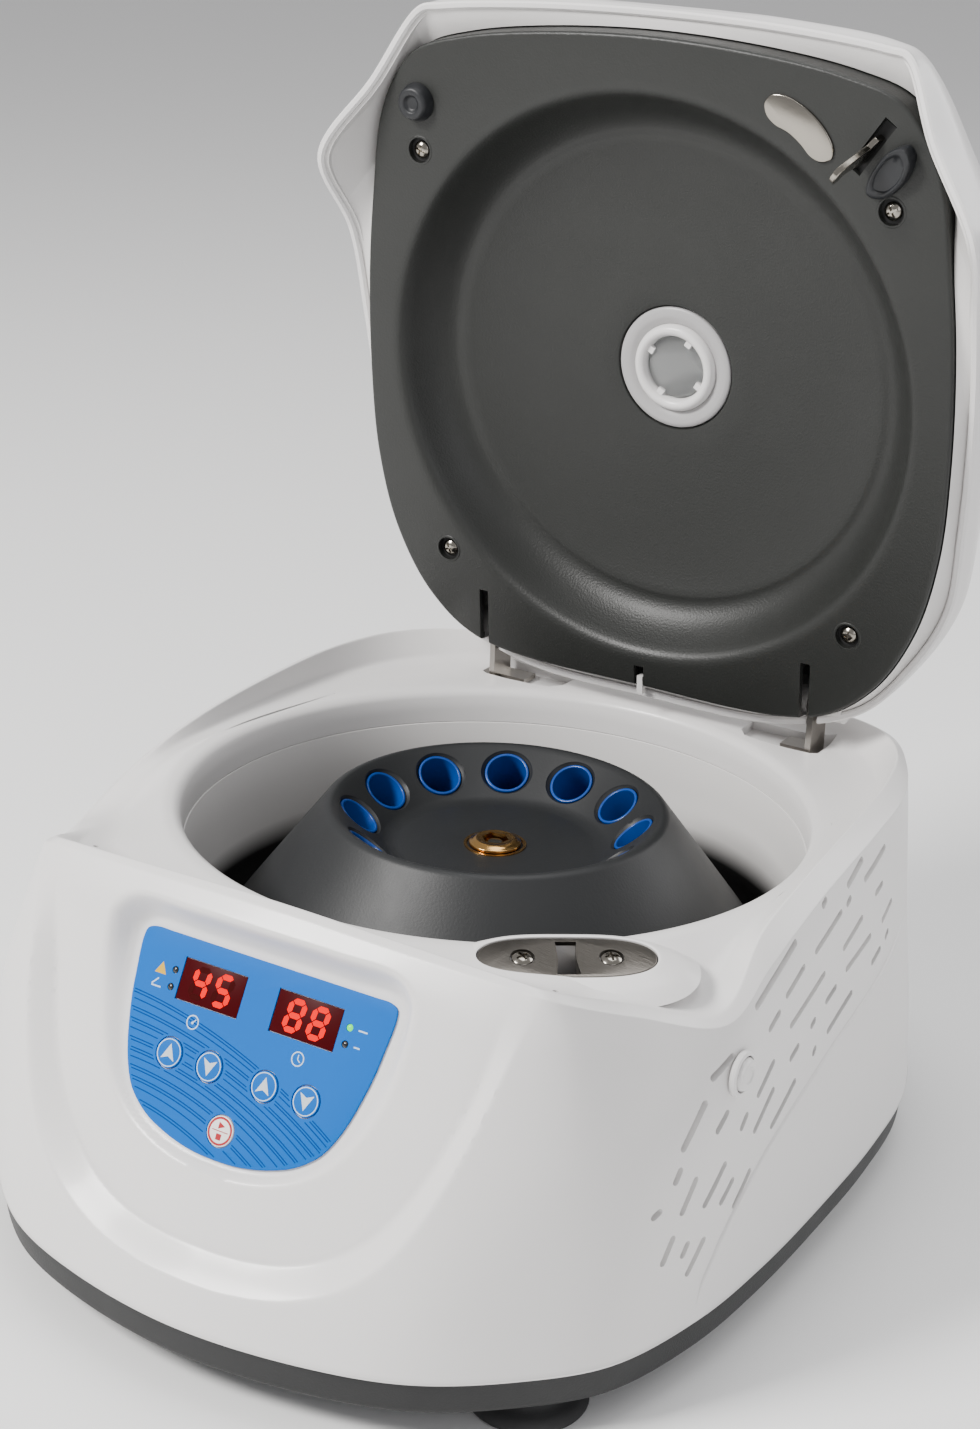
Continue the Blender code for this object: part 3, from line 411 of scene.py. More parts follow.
# ------------------------------------------------------------------ materials
def mat(name, rgb, rough, metal=0.0, coat=0.0, grain=0.0, grain_scale=900.0, tone=0.03, tone_scale=18.0, rough_var=0.06,
        brushed=None, emit=None, emit_strength=0.0, transmission=0.0, ior=1.45, sss=0.0, crease_shade=0.0, spec=0.5):
    m = bpy.data.materials.new(name)
    m.use_nodes = True
    nt = m.node_tree
    L = nt.links.new
    b = nt.nodes["Principled BSDF"]
    b.inputs["Metallic"].default_value = metal
    b.inputs["IOR"].default_value = ior
    b.inputs["Specular IOR Level"].default_value = spec
    b.inputs["Coat Weight"].default_value = coat
    b.inputs["Coat Roughness"].default_value = 0.12
    b.inputs["Transmission Weight"].default_value = transmission
    if sss:
        b.inputs["Subsurface Weight"].default_value = sss
        b.inputs["Subsurface Radius"].default_value = (0.004, 0.004, 0.004)
    tc = nt.nodes.new("ShaderNodeTexCoord")
    n1 = nt.nodes.new("ShaderNodeTexNoise")
    n1.inputs["Scale"].default_value = tone_scale
    n1.inputs["Detail"].default_value = 5.0
    L(tc.outputs["Object"], n1.inputs["Vector"])
    mix = nt.nodes.new("ShaderNodeMix")
    mix.data_type = 'RGBA'
    lo = [max(c * (1 - tone), 0) for c in rgb]
    hi = [min(c * (1 + tone), 1) for c in rgb]
    mix.inputs["A"].default_value = (*lo, 1)
    mix.inputs["B"].default_value = (*hi, 1)
    L(n1.outputs["Fac"], mix.inputs["Factor"])
    colour = mix.outputs["Result"]
    # painted shade: the base colour is multiplied darker in concave creases and recesses, found by pointiness
    if crease_shade > 0:
        g = nt.nodes.new("ShaderNodeNewGeometry")
        r = nt.nodes.new("ShaderNodeMapRange")
        r.inputs["From Min"].default_value, r.inputs["From Max"].default_value = 0.40, 0.50
        r.inputs["To Min"].default_value, r.inputs["To Max"].default_value = 1.0 - crease_shade, 1.0
        L(g.outputs["Pointiness"], r.inputs["Value"])
        mm = nt.nodes.new("ShaderNodeMix")
        mm.data_type, mm.blend_type = 'RGBA', 'MULTIPLY'
        mm.inputs["Factor"].default_value = 1.0
        L(colour, mm.inputs["A"])
        L(r.outputs["Result"], mm.inputs["B"])
        colour = mm.outputs["Result"]
    L(colour, b.inputs["Base Color"])
    n2 = nt.nodes.new("ShaderNodeTexNoise")
    n2.inputs["Scale"].default_value = tone_scale * 3.1
    n2.inputs["Detail"].default_value = 6.0
    L(tc.outputs["Object"], n2.inputs["Vector"])
    mr = nt.nodes.new("ShaderNodeMapRange")
    mr.inputs["To Min"].default_value = max(rough - rough_var, 0.02)
    mr.inputs["To Max"].default_value = min(rough + rough_var, 1.0)
    L(n2.outputs["Fac"], mr.inputs["Value"])
    L(mr.outputs["Result"], b.inputs["Roughness"])
    if brushed is not None:
        mp = nt.nodes.new("ShaderNodeMapping")
        mp.inputs["Rotation"].default_value = brushed[0]
        mp.inputs["Scale"].default_value = (60, 2600, 2600)
        L(tc.outputs["Object"], mp.inputs["Vector"])
        n3 = nt.nodes.new("ShaderNodeTexNoise")
        n3.inputs["Scale"].default_value = 1.0
        n3.inputs["Detail"].default_value = 2.0
        L(mp.outputs["Vector"], n3.inputs["Vector"])
        bp = nt.nodes.new("ShaderNodeBump")
        bp.inputs["Strength"].default_value = brushed[1]
        bp.inputs["Distance"].default_value = 0.0002
        L(n3.outputs["Fac"], bp.inputs["Height"])
        L(bp.outputs["Normal"], b.inputs["Normal"])
    elif grain > 0:
        n3 = nt.nodes.new("ShaderNodeTexNoise")
        n3.inputs["Scale"].default_value = grain_scale
        n3.inputs["Detail"].default_value = 3.0
        L(tc.outputs["Object"], n3.inputs["Vector"])
        bp = nt.nodes.new("ShaderNodeBump")
        bp.inputs["Strength"].default_value = grain
        bp.inputs["Distance"].default_value = 0.0003
        L(n3.outputs["Fac"], bp.inputs["Height"])
        L(bp.outputs["Normal"], b.inputs["Normal"])
    if emit is not None:
        b.inputs["Emission Color"].default_value = (*emit, 1)
        b.inputs["Emission Strength"].default_value = emit_strength
    return m


# the white, inside white and liner materials get painted shade darkening their creases
M = {
    "white": mat("white_shell", (0.76, 0.745, 0.735), 0.33, coat=0.18, grain=0.10, grain_scale=1400, tone=0.012, crease_shade=0.18),
    # painted shade: a darker copy of the shell white, used for parts inside the lid
    "white_in": mat("white_shaded_inside", (0.70, 0.685, 0.67), 0.40, grain=0.12, grain_scale=1400, tone=0.02, crease_shade=0.2),
    "charcoal": mat("charcoal_base", (0.014, 0.0145, 0.015), 0.55, grain=0.45, grain_scale=1500, tone=0.12),
    "liner": mat("liner_grey", (0.019, 0.020, 0.0185), 0.42, grain=0.42, grain_scale=1250, tone=0.08, crease_shade=0.15, spec=0.45),
    "rotor": mat("rotor_coat", (0.0125, 0.0135, 0.0145), 0.50, coat=0.0, grain=0.16, grain_scale=1100, tone=0.1),
    "sleeve": mat("sleeve_blue", (0.0, 0.050, 0.27), 0.32, coat=0.1, tone=0.08),
    "panel": mat("panel_blue", (0.0, 0.110, 0.44), 0.5, coat=0.0, tone=0.02, spec=0.08),
    "panel_line": mat("panel_print_dark", (0.0, 0.030, 0.18), 0.5, tone=0.02, spec=0.05),
    "print_pale": mat("panel_print_pale", (0.48, 0.62, 0.78), 0.4, tone=0.02),
    "print_grey": mat("panel_print_grey", (0.55, 0.60, 0.64), 0.4, tone=0.04),
    "print_white": mat("panel_print_white", (0.82, 0.80, 0.78), 0.35, tone=0.02),
    "print_red": mat("panel_print_red", (0.36, 0.0, 0.008), 0.5, tone=0.03),
    "print_yellow": mat("panel_print_yellow", (0.62, 0.36, 0.0), 0.5, tone=0.03),
    # painted glow: the display filter gets a faint red emission of its own
    "display": mat("display_filter", (0.030, 0.0, 0.001), 0.35, coat=0.0, spec=0.1, emit=(0.30, 0.0, 0.006), emit_strength=0.10, tone=0.05),
    "digit": mat("display_digit", (0.5, 0.0, 0.0), 0.4, spec=0.0, emit=(1.0, 0.0, 0.004), emit_strength=1.0, tone=0.02),
    "digit_off": mat("display_digit_off", (0.035, 0.001, 0.001), 0.4, tone=0.02, spec=0.05),
    "led_off": mat("led_off", (0.01, 0.01, 0.012), 0.2, coat=0.4),
    "led_green": mat("led_green", (0.02, 0.35, 0.03), 0.3, emit=(0.05, 0.9, 0.08), emit_strength=1.6),
    "steel": mat("steel_brushed", (0.17, 0.158, 0.142), 0.30, metal=1.0, brushed=((0, 0, math.radians(-35.5)), 0.35), tone=0.08),
    "steel_x": mat("steel_plain", (0.34, 0.32, 0.295), 0.34, metal=1.0, grain=0.15, tone=0.1),
    "bright": mat("steel_bright", (0.30, 0.28, 0.245), 0.17, metal=1.0, grain=0.05, grain_scale=300, tone=0.08),
    "brass": mat("brass_turned", (0.50, 0.29, 0.10), 0.20, metal=1.0, grain=0.08, tone=0.1),
    # painted shade: near black for pieces put into wells and slots to read as shaded hollows
    "dark": mat("painted_recess_shade", (0.012, 0.012, 0.012), 0.7, tone=0.1),
    "rubber": mat("rubber_black", (0.022, 0.022, 0.023), 0.62, grain=0.3, grain_scale=700, tone=0.15),
    "bumper": mat("bumper_rubber", (0.012, 0.013, 0.015), 0.45, grain=0.15, grain_scale=700, tone=0.12),
    "board": mat("board_green", (0.01, 0.12, 0.05), 0.4, tone=0.1),
    "motor": mat("motor_cast", (0.22, 0.22, 0.23), 0.42, metal=0.8, grain=0.3, tone=0.1),
    "glass": mat("window_clear", (0.90, 0.92, 0.92), 0.06, transmission=0.92, tone=0.0, coat=0.2),
    "frost": mat("window_frost", (0.50, 0.49, 0.49), 0.30, transmission=0.2, sss=0.0, tone=0.05),
    "tan": mat("pocket_tan", (0.26, 0.20, 0.15), 0.55, tone=0.2),
}
# chamber bowl: darker towards the bottom, the base colour blends to near black below z 90 to 99 mm; above that it uses
# the darker inside white, which is painted shade
bowl_m = mat("bowl_darker_below", (0.70, 0.685, 0.67), 0.40, grain=0.12, grain_scale=1400, tone=0.02)
nt = bowl_m.node_tree
bsdf = nt.nodes["Principled BSDF"]
src = bsdf.inputs["Base Color"].links[0].from_socket
tc = nt.nodes.new("ShaderNodeTexCoord")
sep = nt.nodes.new("ShaderNodeSeparateXYZ")
rg = nt.nodes.new("ShaderNodeMapRange")
rg.inputs["From Min"].default_value, rg.inputs["From Max"].default_value = 0.0900, 0.0990
mx = nt.nodes.new("ShaderNodeMix")
mx.data_type = 'RGBA'
mx.inputs["A"].default_value = (0.012, 0.012, 0.012, 1)
nt.links.new(tc.outputs["Object"], sep.inputs["Vector"])
nt.links.new(sep.outputs["Z"], rg.inputs["Value"])
nt.links.new(rg.outputs["Result"], mx.inputs["Factor"])
nt.links.new(src, mx.inputs["B"])
nt.links.new(mx.outputs["Result"], bsdf.inputs["Base Color"])
M["bowl"] = bowl_m
SLOT_OF = {s["node"]: s["material_slot"] for s in frame["record"]["subparts"]}
BY_SLOT = {"white_plastic": "white", "charcoal_plastic": "charcoal", "liner_plastic": "liner", "rotor_metal": "rotor",
           "sleeve_plastic": "sleeve", "panel_film": "panel", "key_white": "print_white", "display_red": "display", "steel": "steel_x",
           "bright_steel": "bright", "brass": "brass", "rubber": "rubber", "board": "board", "motor_metal": "motor", "window": "glass"}


def finish_piece(o, body, nodes=()):
    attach(o, body)
    if nodes:
        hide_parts(*nodes)
    return o


# ------------------------------------------------------------------ housing
SAMP = [26, 26, 26, 18, 10, 8, 8, 8, 8, 8, 8, 8, 8]
SAMP = SAMP + SAMP[::-1]


def outline_cr(half, n=10):
    """Closed outline from right-half (x, v) points running top centre to bottom centre."""
    P = [np.array([x, v, 0.0]) for x, v in half]
    full = P + [p * np.array([-1, 1, 1]) for p in P[-2:0:-1]]
    return cr_closed(full, n)[:, :2]


OUT_E = outline_cr([(0, -40), (60, -40), (99, -34), (97.5, -14), (93, 10), (88.5, 32), (82, 53), (72.5, 73), (58.5, 89), (42, 98.5), (22, 103.6), (0, 105)])
OUT_M = outline_cr([(0, -40), (56, -40), (90, -34), (88.5, -12), (85, 10), (79, 32), (71.5, 52), (60, 70), (46, 82), (31, 88.6), (15, 91.5), (0, 92)])
OUT_C = outline_cr([(0, -10.5), (30, -10.5), (52, -9.6), (59.5, -3), (60.3, 8), (57.6, 28), (52.5, 42), (44, 54.5), (32, 63.5), (18, 68.5), (0, 70)])
OUT_O = outline_cr([(0, -0.5), (30, -0.5), (48.5, -0.3), (50.7, 3), (49.9, 15), (47.1, 31), (42.1, 46.3), (34, 56.7), (22.3, 62.4), (8, 65.4), (0, 65.7)])


def press_fascia(R):
    """Push the front of the shell in along the panel's normal: the shield-shaped step, then the panel's own recess."""
    P = R - PF[:3, 3]
    x, v, w = P @ PF[:3, 0], P @ PF[:3, 1], P @ PF[:3, 2]
    q = np.stack([x, v], 1)
    near = (np.abs(x) < 108) & (v < 118) & (R[:, 1] < -95) & (v > -24)
    if not near.any():
        return R
    qn = q[near]
    dE, dM, dC, dO = (sdf(qn, o) for o in (OUT_E, OUT_M, OUT_C, OUT_O))
    t = np.where(dM > 0, 1.0, np.clip(dE, 0, None) / np.maximum(np.clip(dE, 0, None) - dM, 1e-6))
    s = 0.85 * np.clip((t - 0.05) / 0.90, 0, 1) + 0.15 * smooth01(t)
    s = np.where(dE <= 0, 0, s)
    vv = qn[:, 1]
    depth = 8.4 * smooth01((vv + 17.0) / 46.0)
    wn = w[near] - s * depth
    tc = np.where(dO > 0, 1.0, np.clip(dC, 0, None) / np.maximum(np.clip(dC, 0, None) - dO, 1e-6))
    sc = np.where(dC <= 0, 0, smooth01(tc / 0.86))
    floor = -0.95
    wn = wn + (np.minimum(floor, wn + 9) - wn) * sc
    out = R.copy()
    idx = np.where(near)[0]
    out[idx] = R[idx] + (wn - w[near])[:, None] * PF[:3, 2]
    return out


def build_housing():
    sk, lo, mi, hi, ro, rt, dw, de = (ring(h, SAMP) for h in (SK, LOW, MID, HIGH, RO, RT, DW, DE))
    per = 34
    rows = rows_cr([sk, lo, mi, hi, ro], per)
    tip = rows[-1]
    below = rows[-3]
    rows = rows[:-2]
    chain = [below, tip, rt, dw, de, circ(de, 120.5, 142.0), circ(de, 116.2, 141.5), circ(de, 113.8, 139.6), circ(de, 113.0, 135.0), circ(de, 113.0, 128.0)]
    top = fillet_rows(chain, [0, 1.6, 1.2, 1.6, 4.0, 3.0, 1.6, 1.6, 2.0, 0], seg=5)
    rows = rows[:-1] + top
    # small turned-in edge at the skirt
    rows = [inset(sk, 1.0), inset(sk, 0.25) + np.array([0, 0, 0.25]), sk + np.array([0, 0, 1.1])] + rows[1:]
    rows = [press_fascia(r) for r in rows]
    inner = [circ(de, 115.6, 128.0), circ(de, 117.5, 135.5), de - np.array([0, 0, 6.0]), ring(IH, SAMP), ring(IM, SAMP), ring(IL, SAMP), ring(IS, SAMP)]
    V, F = grid(rows + inner, closed_rows=True)
    o = to_obj("housing", V, F, M["white"], sharp=None)
    tools = []
    dg = bpy.context.evaluated_depsgraph_get()
    bvh = BVHTree.FromObject(o, dg)
    for y0, z0, y1, z1 in VENTS:
        for sd in (1, -1):
            ym, zm = (y0 + y1) / 2, (z0 + z1) / 2
            hit = bvh.ray_cast(Vector((sd * 0.3, (ym + Y0) * MM, zm * MM)), Vector((-sd, 0, 0)))[0]
            if hit is None or abs(hit.x) < 0.118:
                continue
            x_s = abs(hit.x) / MM
            deep = 2.8 if zm > 112 or ym < -92 else 9.0
            a, b_ = x_s - deep, 152
            lo_x, hi_x = (a, b_) if sd > 0 else (-b_, -a)
            tools.append(prism(capsule(y0, z0, y1, z1, 1.3, 6), lo_x, hi_x, XF))
    tools.append(prism(lens(29.0, 10.1, 0.62, 96), -1.9, 14, LF))
    for s in (-14.2, 14.2):
        tools.append(prism(disc(s, 0, 2.4, 20), -9, -1.0, LF))
    for s in (-1, 1):
        pts = [(s * 40, 127.5), (s * 40.5, 116), (s * 44, 111.5), (s * 52, 109.5), (s * 64, 108.8), (s * 73, 109.2), (s * 75.8, 111), (s * 76, 127.5)]
        if s < 0:
            pts = pts[::-1]
        tools.append(prism(pts, 138.4, 156, None))
        tools.append(prism(disc(s * 92, -113.0, 1.15, 16), 130, 150, None))
    tools.append(prism(disc(-72.3, 107.0, 6.3, 32), 120, 160, XF))
    tools.append(boxv((-68, 140, 34), (-8, 180, 68)))
    carve(o, tools, sharp=40)
    carve(o, [boxv((-3.9, -8.2, -16), (3.9, 9.2, 6.0), LF)], sharp=40)
    finish_piece(o, "machine", ["housing_shell"])
    return o


def lens(hl, hw, nose, n):
    pts = []
    for i in range(n):
        a = 2 * math.pi * i / n
        c, s = math.cos(a), math.sin(a)
        pts.append((hl * math.copysign(abs(c) ** nose, c), hw * math.copysign(abs(s) ** 0.9, s)))
    return pts


# side louvre slots: (y, z) of both ends
VENTS = [(-60, 125, -32, 136), (-37, 109, -12, 117), (-40, 121, -28, 126), (-18, 128, 2, 134), (5, 120, 20, 125), (8, 111, 28, 115), (10, 141, 23, 145),
         (24, 138, 44, 142), (-10, 141, -8, 142), (8, 135, 10, 136), (34, 129, 40, 130), (41, 116, 51, 119), (45, 108, 47, 109), (31, 104, 38, 106),
         (-9, 106, -2, 108), (-7, 94, 12, 100), (-21, 102, -19, 103), (-37, 97, -32, 99), (-19, 91, -18, 92), (-52, 114, -46, 117),
         (-85, 110, -76, 114), (-60, 94, -50, 101), (-50, 78, -34, 87), (-62, 82, -50, 91), (-71, 87, -68, 90), (-85, 92, -80, 96), (-101, 92, -90, 103),
         (-91, 68, -81, 78), (-105, 82, -103, 85), (-102, 70, -96, 79), (-82, 65, -76, 70), (-74, 60, -65, 68), (-114, 73, -112, 74), (-110, 55, -106, 62),
         (-101, 54, -99, 57), (-98, 46, -91, 55)]
BEAD = [(-92, 30), (-90, 38), (-85.5, 45), (-80, 52), (-71, 60), (-57, 68.5), (-41, 75.5), (-23, 81), (-4, 86), (16, 90.5), (36, 95), (57, 100), (76, 105)]


def surface_bead(target, side):
    """Raised moulded line along the side, laid on the shell."""
    dg = bpy.context.evaluated_depsgraph_get()
    bvh = BVHTree.FromObject(target, dg)
    P = np.array([(0, y, z) for y, z in BEAD], float)
    full = []
    for i in range(len(P) - 1):
        for k in range(8):
            t = k / 8
            p0, p1, p2, p3 = P[max(i - 1, 0)], P[i], P[i + 1], P[min(i + 2, len(P) - 1)]
            full.append(0.5 * ((2 * p1) + (p2 - p0) * t + (2 * p0 - 5 * p1 + 4 * p2 - p3) * t * t + (3 * p1 - p0 - 3 * p2 + p3) * t ** 3))
    pts, nrm = [], []
    for p in full:
        hit = bvh.ray_cast(Vector((side * 0.2, (p[1] + Y0) * MM, p[2] * MM)), Vector((-side, 0, 0)))
        if hit[0] is not None and abs(hit[0].x) > 0.1:
            pts.append(np.array(hit[0]) / MM - np.array([0, Y0, 0]))
            nrm.append(np.array(hit[1]) * (1 if hit[1].x * side > 0 else -1))
    pts, nrm = np.array(pts), np.array(nrm)
    tan = np.gradient(pts, axis=0)
    tan /= np.linalg.norm(tan, axis=1, keepdims=True)
    bi = np.cross(tan, nrm)
    rows = []
    n = len(pts)
    for i in range(n):
        taper = min(1.0, i / 10.0, (n - 1 - i) / 10.0 + 0.05)
        row = []
        for u, h in ((-1.1, -0.7), (-1.0, 0.02), (-0.55, 0.62), (0.0, 0.85), (0.55, 0.62), (1.0, 0.02), (1.1, -0.7)):
            row.append(pts[i] + bi[i] * u * (0.3 + 0.7 * taper) * 1.0 + nrm[i] * (h * max(taper, 0.1) if h > 0 else h))
        rows.append(np.array(row))
    V, F = grid(rows)
    o = to_obj("side_line_" + ("right" if side > 0 else "left"), V, F, M["white"], sharp=50)
    finish_piece(o, "machine")


def build_base():
    S = [16, 14, 12, 10, 8, 8, 8, 8, 8, 8, 8, 8, 8]
    S = S + S[::-1]
    lo = ring([(x * 0.985, y * 0.988, 12.0) for x, y, _ in SK], S)
    top = ring([(x * 0.992, y * 0.994, 23.7) for x, y, _ in SK], S)
    rows = fillet_rows([inset(lo, 12), lo, top, inset(top, 4)], [0, 2.2, 0.5, 0], 4)
    back = [inset(top, 4) - np.array([0, 0, 6]), inset(lo, 12) + np.array([0, 0, 3])]
    V, F = grid(rows[:1] + rows[1:] + back, closed_rows=False, caps=False)
    n = len(lo)
    F.append(tuple(range(n - 1, -1, -1)))
    F.append(tuple((len(rows) + 1) * n + q for q in range(n)))
    o = to_obj("base", V, F, M["charcoal"], sharp=40)
    finish_piece(o, "machine", ["base_tray"])
    for y, fr in ((-128.0, "front"), (118.0, "rear")):
        for s, sd in ((-1, "left"), (1, "right")):
            nm = "foot_%s_%s" % (fr, sd)
            prof = round_profile([(0, 0.8), (8, 0.8), (9.0, 0), (19.2, 0), (20.4, 1.6), (18.6, 4.2), (14.5, 6.6), (13.2, 11.6), (0, 11.6)],
                                 [0, 0.3, 0.3, 0.8, 1.0, 1.5, 2.0, 0.2, 0])
            V, F = turned(prof, 56, centre=(s * 97.0, y))
            finish_piece(to_obj("rubber_" + nm, V, F, M["rubber"]), "machine", [nm])


def build_bowl():
    prof = round_profile([(112.7, 127.7), (111.8, 108), (110.2, 86), (107.5, 78.5), (102, 74), (94, 72), (30, 71.7), (28, 71.3), (16, 71.5), (16, 69.3), (95, 69.6),
                          (103.4, 71.8), (109.6, 76.8), (112.5, 85.3), (114.2, 107.7), (115.2, 127.7)],
                         [0.3, 6, 6, 3, 3, 3, 1, 1, 0, 0, 2, 2, 2, 2, 2, 0.3])
    V, F = turned(prof, 128)
    o = to_obj("bowl", V, F, M["bowl"], sharp=40)
    finish_piece(o, "machine", ["chamber_bowl"])


# ------------------------------------------------------------------ control panel
def ribbon(pts, width, w, closed=False):
    P = np.array(pts, float)
    if closed:
        t = np.roll(P, -1, 0) - np.roll(P, 1, 0)
    else:
        t = np.gradient(P, axis=0)
    t /= np.maximum(np.linalg.norm(t, axis=1, keepdims=True), 1e-9)
    n = np.stack([-t[:, 1], t[:, 0]], 1)
    a, b = P - n * width / 2, P + n * width / 2
    m = len(P)
    V = np.concatenate([np.c_[a, np.full(m, w)], np.c_[b, np.full(m, w)], np.c_[a, np.full(m, w - 0.15)], np.c_[b, np.full(m, w - 0.15)]])
    F = []
    last = m if closed else m - 1
    for i in range(last):
        k = (i + 1) % m
        F += [(i, k, m + k, m + i), (2 * m + i, 3 * m + i, 3 * m + k, 2 * m + k), (i, 2 * m + i, 2 * m + k, k), (m + i, m + k, 3 * m + k, 3 * m + i)]
    if not closed:
        F += [(0, m, 3 * m, 2 * m), (m - 1, 3 * m - 1, 4 * m - 1, 2 * m - 1)]
    return V, F


def in_panel(parts, name, material, body="machine", nodes=(), sharp=35):
    V, F = joined(parts)
    V = V @ PF[:3, :3].T + PF[:3, 3]
    o = to_obj(name, V, F, M[material], sharp=sharp)
    return finish_piece(o, body, nodes)


def seven(ch, cx, cy, w, h, th, slant, top):
    """Lit bars of one digit as flat prisms."""
    on = {"4": "bcfg", "5": "acdfg", "8": "abcdefg"}[ch]
    bars = {"a": (-1, -1, 1, -1), "g": (-1, 0, 1, 0), "d": (-1, 1, 1, 1), "f": (-1, -1, -1, 0), "e": (-1, 0, -1, 1), "b": (1, -1, 1, 0), "c": (1, 0, 1, 1)}
    lit, dim = [], []
    for k, (x0, y0, x1, y1) in bars.items():
        a = np.array([cx + x0 * (w - th) / 2, cy + y0 * (h - th) / 2])
        b = np.array([cx + x1 * (w - th) / 2, cy + y1 * (h - th) / 2])
        d = (b - a) / np.linalg.norm(b - a)
        n = np.array([-d[1], d[0]]) * th / 2
        a, b = a + d * 0.22, b - d * 0.22
        pts = [a, a + d * th / 2 + n, b - d * th / 2 + n, b, b - d * th / 2 - n, a + d * th / 2 - n]
        pts = [(p[0] - slant * (p[1] - cy), p[1]) for p in pts]
        (lit if k in on else dim).append(prism(pts, top - 0.2, top))
    return lit, dim


def build_panel():
    over = outline_cr([(0, 0), (20, 0), (40, 0), (46.5, 0.1), (49.4, 1.4), (50.1, 4.6), (49.9, 9), (49.2, 15), (48.2, 23), (46.5, 31), (44.3, 39), (41.5, 46), (38, 51.8),
                       (33.5, 56), (28.2, 59.3), (22, 61.7), (15, 63.6), (8, 64.7), (0, 65)], 5)
    keys = {"key_speed_up": (-27.3, 37.7), "key_speed_down": (-11.0, 37.7), "key_time_up": (11.0, 37.7), "key_time_down": (27.3, 37.7), "key_run_stop": (0.0, 55.7)}
    V, F = prism(over, -0.8, 0.02, None, bevel=0.12)
    V = V @ PF[:3, :3].T + PF[:3, 3]
    o = to_obj("overlay", V, F, M["panel"], sharp=35)
    tools = []
    for s in (-1, 1):
        cx = s * 18.9
        tools.append(prism([(cx - 12.6, 6.4), (cx + 12.6, 6.4), (cx + 12.6, 20.6), (cx - 12.6, 20.6)], -5, 5, PF))
    for x, v in keys.values():
        tools.append(prism(disc(x, v, 5.4, 48), -5, 5, PF))
    for x, v in ((-34.2, 11.7), (-34.2, 17.4), (35.0, 11.4), (35.0, 16.8)):
        tools.append(prism(disc(x, v, 1.25, 24), -5, 5, PF))
    carve(o, tools, sharp=35)
    finish_piece(o, "machine", ["control_overlay"])
    # printed arcs across the lower half
    parts = []
    poly = over
    for g, v0 in enumerate([21.5, 24.0, 26.3, 29.6, 32.6, 35.4, 38.8, 42.0, 45.0, 48.6, 52.0, 55.4]):
        for j in range(2 if g % 3 != 1 else 1):
            xs = np.linspace(-50, 50, 120)
            vs = v0 + j * 0.95 + (0.0031 + 0.00006 * g) * (xs + 50) ** 2 + 1.3 * np.sin((xs + 50) / 30.0 + g * 0.35)
            q = np.stack([xs, vs], 1)
            ok = sdf(q, poly) > 0.7
            for x, v in keys.values():
                ok &= np.hypot(q[:, 0] - x, q[:, 1] - v) > 6.0
            run = []
            for i in range(len(q)):
                if ok[i]:
                    run.append(q[i])
                if (not ok[i] or i == len(q) - 1) and run:
                    if len(run) > 3:
                        parts.append(ribbon(run, 0.32, 0.05))
                    run = []
    in_panel(parts, "panel_arcs", "panel_line")
    # displays and digits
    for s, node, text in ((-1, "display_speed", "45"), (1, "display_time", "88")):
        cx = s * 18.9
        V, F = prism([(cx - 12.3, 6.7), (cx + 12.3, 6.7), (cx + 12.3, 20.3), (cx - 12.3, 20.3)], -7.6, -0.12, None, bevel=0.1)
        V = V @ PF[:3, :3].T + PF[:3, 3]
        finish_piece(to_obj(node + "_window", V, F, M["display"], sharp=30), "machine", [node])
        lit, dim = [], []
        for i, ch in enumerate(text):
            a, b = seven(ch, cx - 4.6 + 9.2 * i, 13.5, 7.0, 11.2, 1.95, 0.10, -0.06)
            lit += a
            dim += b
        in_panel(lit, node + "_digits", "digit")
        if dim:
            in_panel(dim, node + "_unlit", "digit_off")
    # lamps
    for i, (x, v, m) in enumerate(((-34.2, 11.7, "led_off"), (-34.2, 17.4, "led_off"), (35.0, 11.4, "led_green"), (35.0, 16.8, "led_off"))):
        prof = [(0, 0.32), (0.6, 0.22), (1.05, -0.05), (1.1, -0.8), (0, -0.8)]
        V, F = turned(prof, 24, centre=(x, v))
        V = V @ PF[:3, :3].T + PF[:3, 3]
        finish_piece(to_obj("lamp_%d" % i, V, F, M[m]), "machine")
    # generic marks: plain triangle, lid, dial and clock shapes
    in_panel([prism([(-41.9, 14.3), (-39.6, 10.3), (-37.3, 14.3)], -0.1, 0.06)], "mark_triangle", "print_yellow")
    lines = [ribbon([(-41.8, 18.6), (-38.0, 18.6)], 0.5, 0.06), ribbon([(-41.8, 18.2), (-39.6, 15.9)], 0.5, 0.06)]
    for cx, cv in ((-22.0, 26.0), (20.0, 26.0)):
        lines.append(ribbon(disc(cx, cv, 2.2, 40), 0.42, 0.06, closed=True))
    lines.append(ribbon([(20.0, 24.6), (20.0, 26.1), (21.1, 26.9)], 0.38, 0.06))
    lines.append(ribbon([(-22.0, 26.2), (-20.9, 24.9)], 0.38, 0.06))
    lines.append(prism(disc(-22.0, 26.2, 0.45, 16), -0.1, 0.07))
    for v in (11.4, 16.8):
        lines.append(ribbon([(38.4, v), (41.8 if v < 14 else 40.6, v)], 0.5, 0.06))
    in_panel(lines, "marks_pale", "print_pale")
